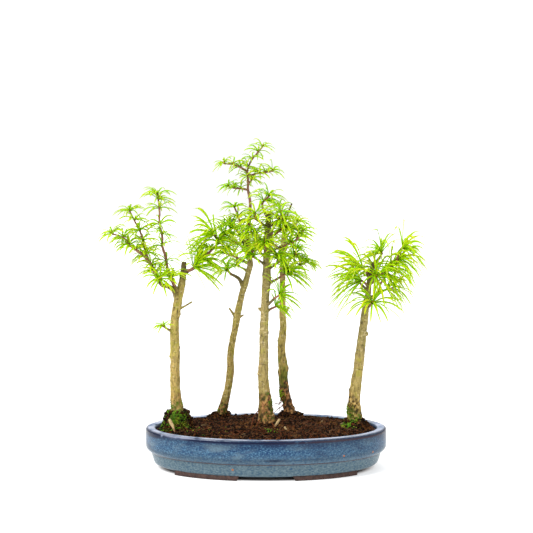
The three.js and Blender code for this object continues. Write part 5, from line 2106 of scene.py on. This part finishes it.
@dataclass
class Planting:
    """All five trees: their trunks, bare wood and leafy stems."""

    step: float = 1.6
    wood: Wood = field(default_factory=Wood)
    trunks: dict[str, Trunk] = field(default_factory=dict)
    barks: dict[str, Bark] = field(
        default_factory=lambda: {
            "right": Bark(russet="a8823c", chip="e6c67c"),
            "left": Bark(russet="b3884c"),
        }
    )

    def split(self, limb: Limb) -> tuple[Array | None, Array | None]:
        """Parts a limb's bare wood from its leafy stem.

        Args:
            limb: The limb.

        Returns:
            The rows of the wood and of the stem, either of them None.
        """
        radii = np.linspace(*limb.girth, len(limb.route))
        rows, marks = rounded_route(np.column_stack((limb.route, radii)), self.step)
        if not limb.spurs:
            rows[-1, 3] *= 0.6
            return rows, None
        if limb.bare is None:
            return None, rows
        cut = marks[limb.bare]
        return rows[: cut + 1], rows[cut:]

    def build(self) -> list[Piece]:
        """Builds the trunks first, then the sprays, whose needles keep clear of the wood.

        Returns:
            The pieces.
        """
        made, sprays = [], []
        for salt, tree in enumerate(TREES, 1):
            trunk = Trunk(tree, salt=salt, bark=self.barks.get(tree.name, Bark()))
            self.trunks[tree.name] = trunk
            bare = [(self.split(limb)[0], bool(limb.spurs)) for limb in tree.limbs]
            wood = [rows for rows, _ in bare if rows is not None]
            made.append(trunk.build(wood, [leafy for rows, leafy in bare if rows is not None]))
            self.wood.points += [trunk.line[::3], *(rows[::3] for rows in wood)]
        number = 0
        needle, twig = Needle().dress(), Twig().dress()
        for tree, limb in ((tree, limb) for tree in TREES for limb in tree.limbs if limb.spurs):
            stems = [self.split(part)[1] for part in (limb, *limb.branches)]
            spray = Spray(limb, stems, number, self.wood, depth=tree.depth, yellow=tree.yellow)
            sprays.append(spray.build(needle, twig))
            number += sum(len(part.spurs) for part in (limb, *limb.branches))
        return made + sprays


@dataclass(frozen=True)
class Lamp:
    """A soft, far studio light: where it comes from, its strength and how wide it is, in degrees."""

    name: str
    source: Triple
    strength: float
    width: float

    def build(self) -> None:
        """Hangs the light."""
        light = bpy.data.lights.new(self.name, "SUN")
        light.energy = self.strength
        light.angle = math.radians(self.width)
        lamp = linked(self.name, light)
        x, y, z = self.source
        lamp.rotation_euler = (math.atan2(math.hypot(x, y), z), 0, math.atan2(x, -y))
        lamp.location = self.source


@dataclass
class Studio:
    """The white floor and background, the soft lights and the camera, in metres."""

    camera_place: Triple = (0.0007, -2.0, 0.376)
    tilt_down: float = math.radians(2.43)
    focal_pixels: float = 1379.5
    image_pixels: float = 533
    sensor: float = 36
    glow: float = 0.58
    backdrop: float = 1.05
    floor_reach: float = 60
    lights: tuple[Lamp, ...] = (
        Lamp("key", (-0.7, -0.6, 1.0), 2.4, 24),
        Lamp("fill", (1.0, -0.9, 0.5), 0.5, 40),
        Lamp("top", (0.2, 0.6, 1.0), 1.0, 40),
    )
    floor_glow: float = 0.55
    floor_white: tuple[float, float, float, float] = (0.72, 0.72, 0.72, 1)
    # Painted shadow under the pot: an oval, in millimetres, with no glow inside the core share of it.
    shaded: Pair = (160, 116)
    shaded_core: float = 0.9

    def floor(self) -> None:
        """Lays the white floor, whose glow fades out to a painted shadow under the pot."""
        reach = self.floor_reach
        mesh = bpy.data.meshes.new("floor")
        corners = [(x * reach, y * reach, 0) for x, y in ((-1, -1), (1, -1), (1, 1), (-1, 1))]
        mesh.from_pydata(corners, [], [(0, 1, 2, 3)])
        make = Recipe("white_floor", 0.9, Specular_IOR_Level=0.0)
        make.shader.inputs["Emission Color"].default_value = (1, 1, 1, 1)
        # Painted shadow: the glow fades to nothing inside an oval under the pot.
        oval = [1 / (part * MM) for part in (*self.shaded, 1e3)]
        ring = make.node("Mapping", {"Vector": make.where, "Scale": oval}).outputs[0]
        away = make.node("VectorMath", {0: ring}, operation="LENGTH").outputs["Value"]
        ends = {"Value": away, "From Min": self.shaded_core, "To Max": self.floor_glow}
        glow = make.node("MapRange", ends, interpolation_type="SMOOTHSTEP").outputs[0]
        make.feed(make.shader.inputs["Emission Strength"], glow)
        mesh.materials.append(make.done(self.floor_white))
        linked("floor", mesh)

    def build(self) -> None:
        """Sets up the floor, the white surroundings, the lights and the camera."""
        scene = bpy.context.scene
        self.floor()
        world = bpy.data.worlds.new("studio")
        world.use_nodes = True
        tree = world.node_tree
        ray = tree.nodes.new("ShaderNodeLightPath").outputs["Is Camera Ray"]
        strength = tree.nodes.new("ShaderNodeMapRange")
        strength.inputs["To Min"].default_value = self.glow
        strength.inputs["To Max"].default_value = self.backdrop
        tree.links.new(ray, strength.inputs["Value"])
        walls = tree.nodes["Background"]
        walls.inputs["Color"].default_value = (1, 1, 1, 1)
        tree.links.new(strength.outputs[0], walls.inputs["Strength"])
        scene.world = world
        for light in self.lights:
            light.build()
        view = bpy.data.cameras.new("photo_view")
        view.sensor_width = self.sensor
        view.lens = self.sensor * self.focal_pixels / self.image_pixels
        view.clip_end = 500
        camera = linked("photo_view", view)
        camera.location = self.camera_place
        camera.rotation_euler = (math.pi / 2 - self.tilt_down, 0, 0)
        scene.camera = camera
        scene.view_settings.view_transform = "Standard"


def main() -> None:
    """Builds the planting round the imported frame."""
    logging.basicConfig(level=logging.INFO, format="%(name)s: %(message)s")
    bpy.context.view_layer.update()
    Studio().build()
    Pot().build()
    soil = Soil()
    soil.build()
    Litter(soil).build()
    planting = Planting()
    planting.build()
    for name, *patch in CUSHIONS:
        MossPatch(name, soil, *patch).build()
    for name, tree, *patch in TUFTS:
        TrunkMoss(name, soil, *patch, planting.trunks[tree]).build()
    plastic = MeshPlastic().dress()
    for side in ("left", "right"):
        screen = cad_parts[f"{side}_drain_screen"]
        screen.data.materials.clear()
        screen.data.materials.append(plastic)


if __name__ == "__main__":
    main()
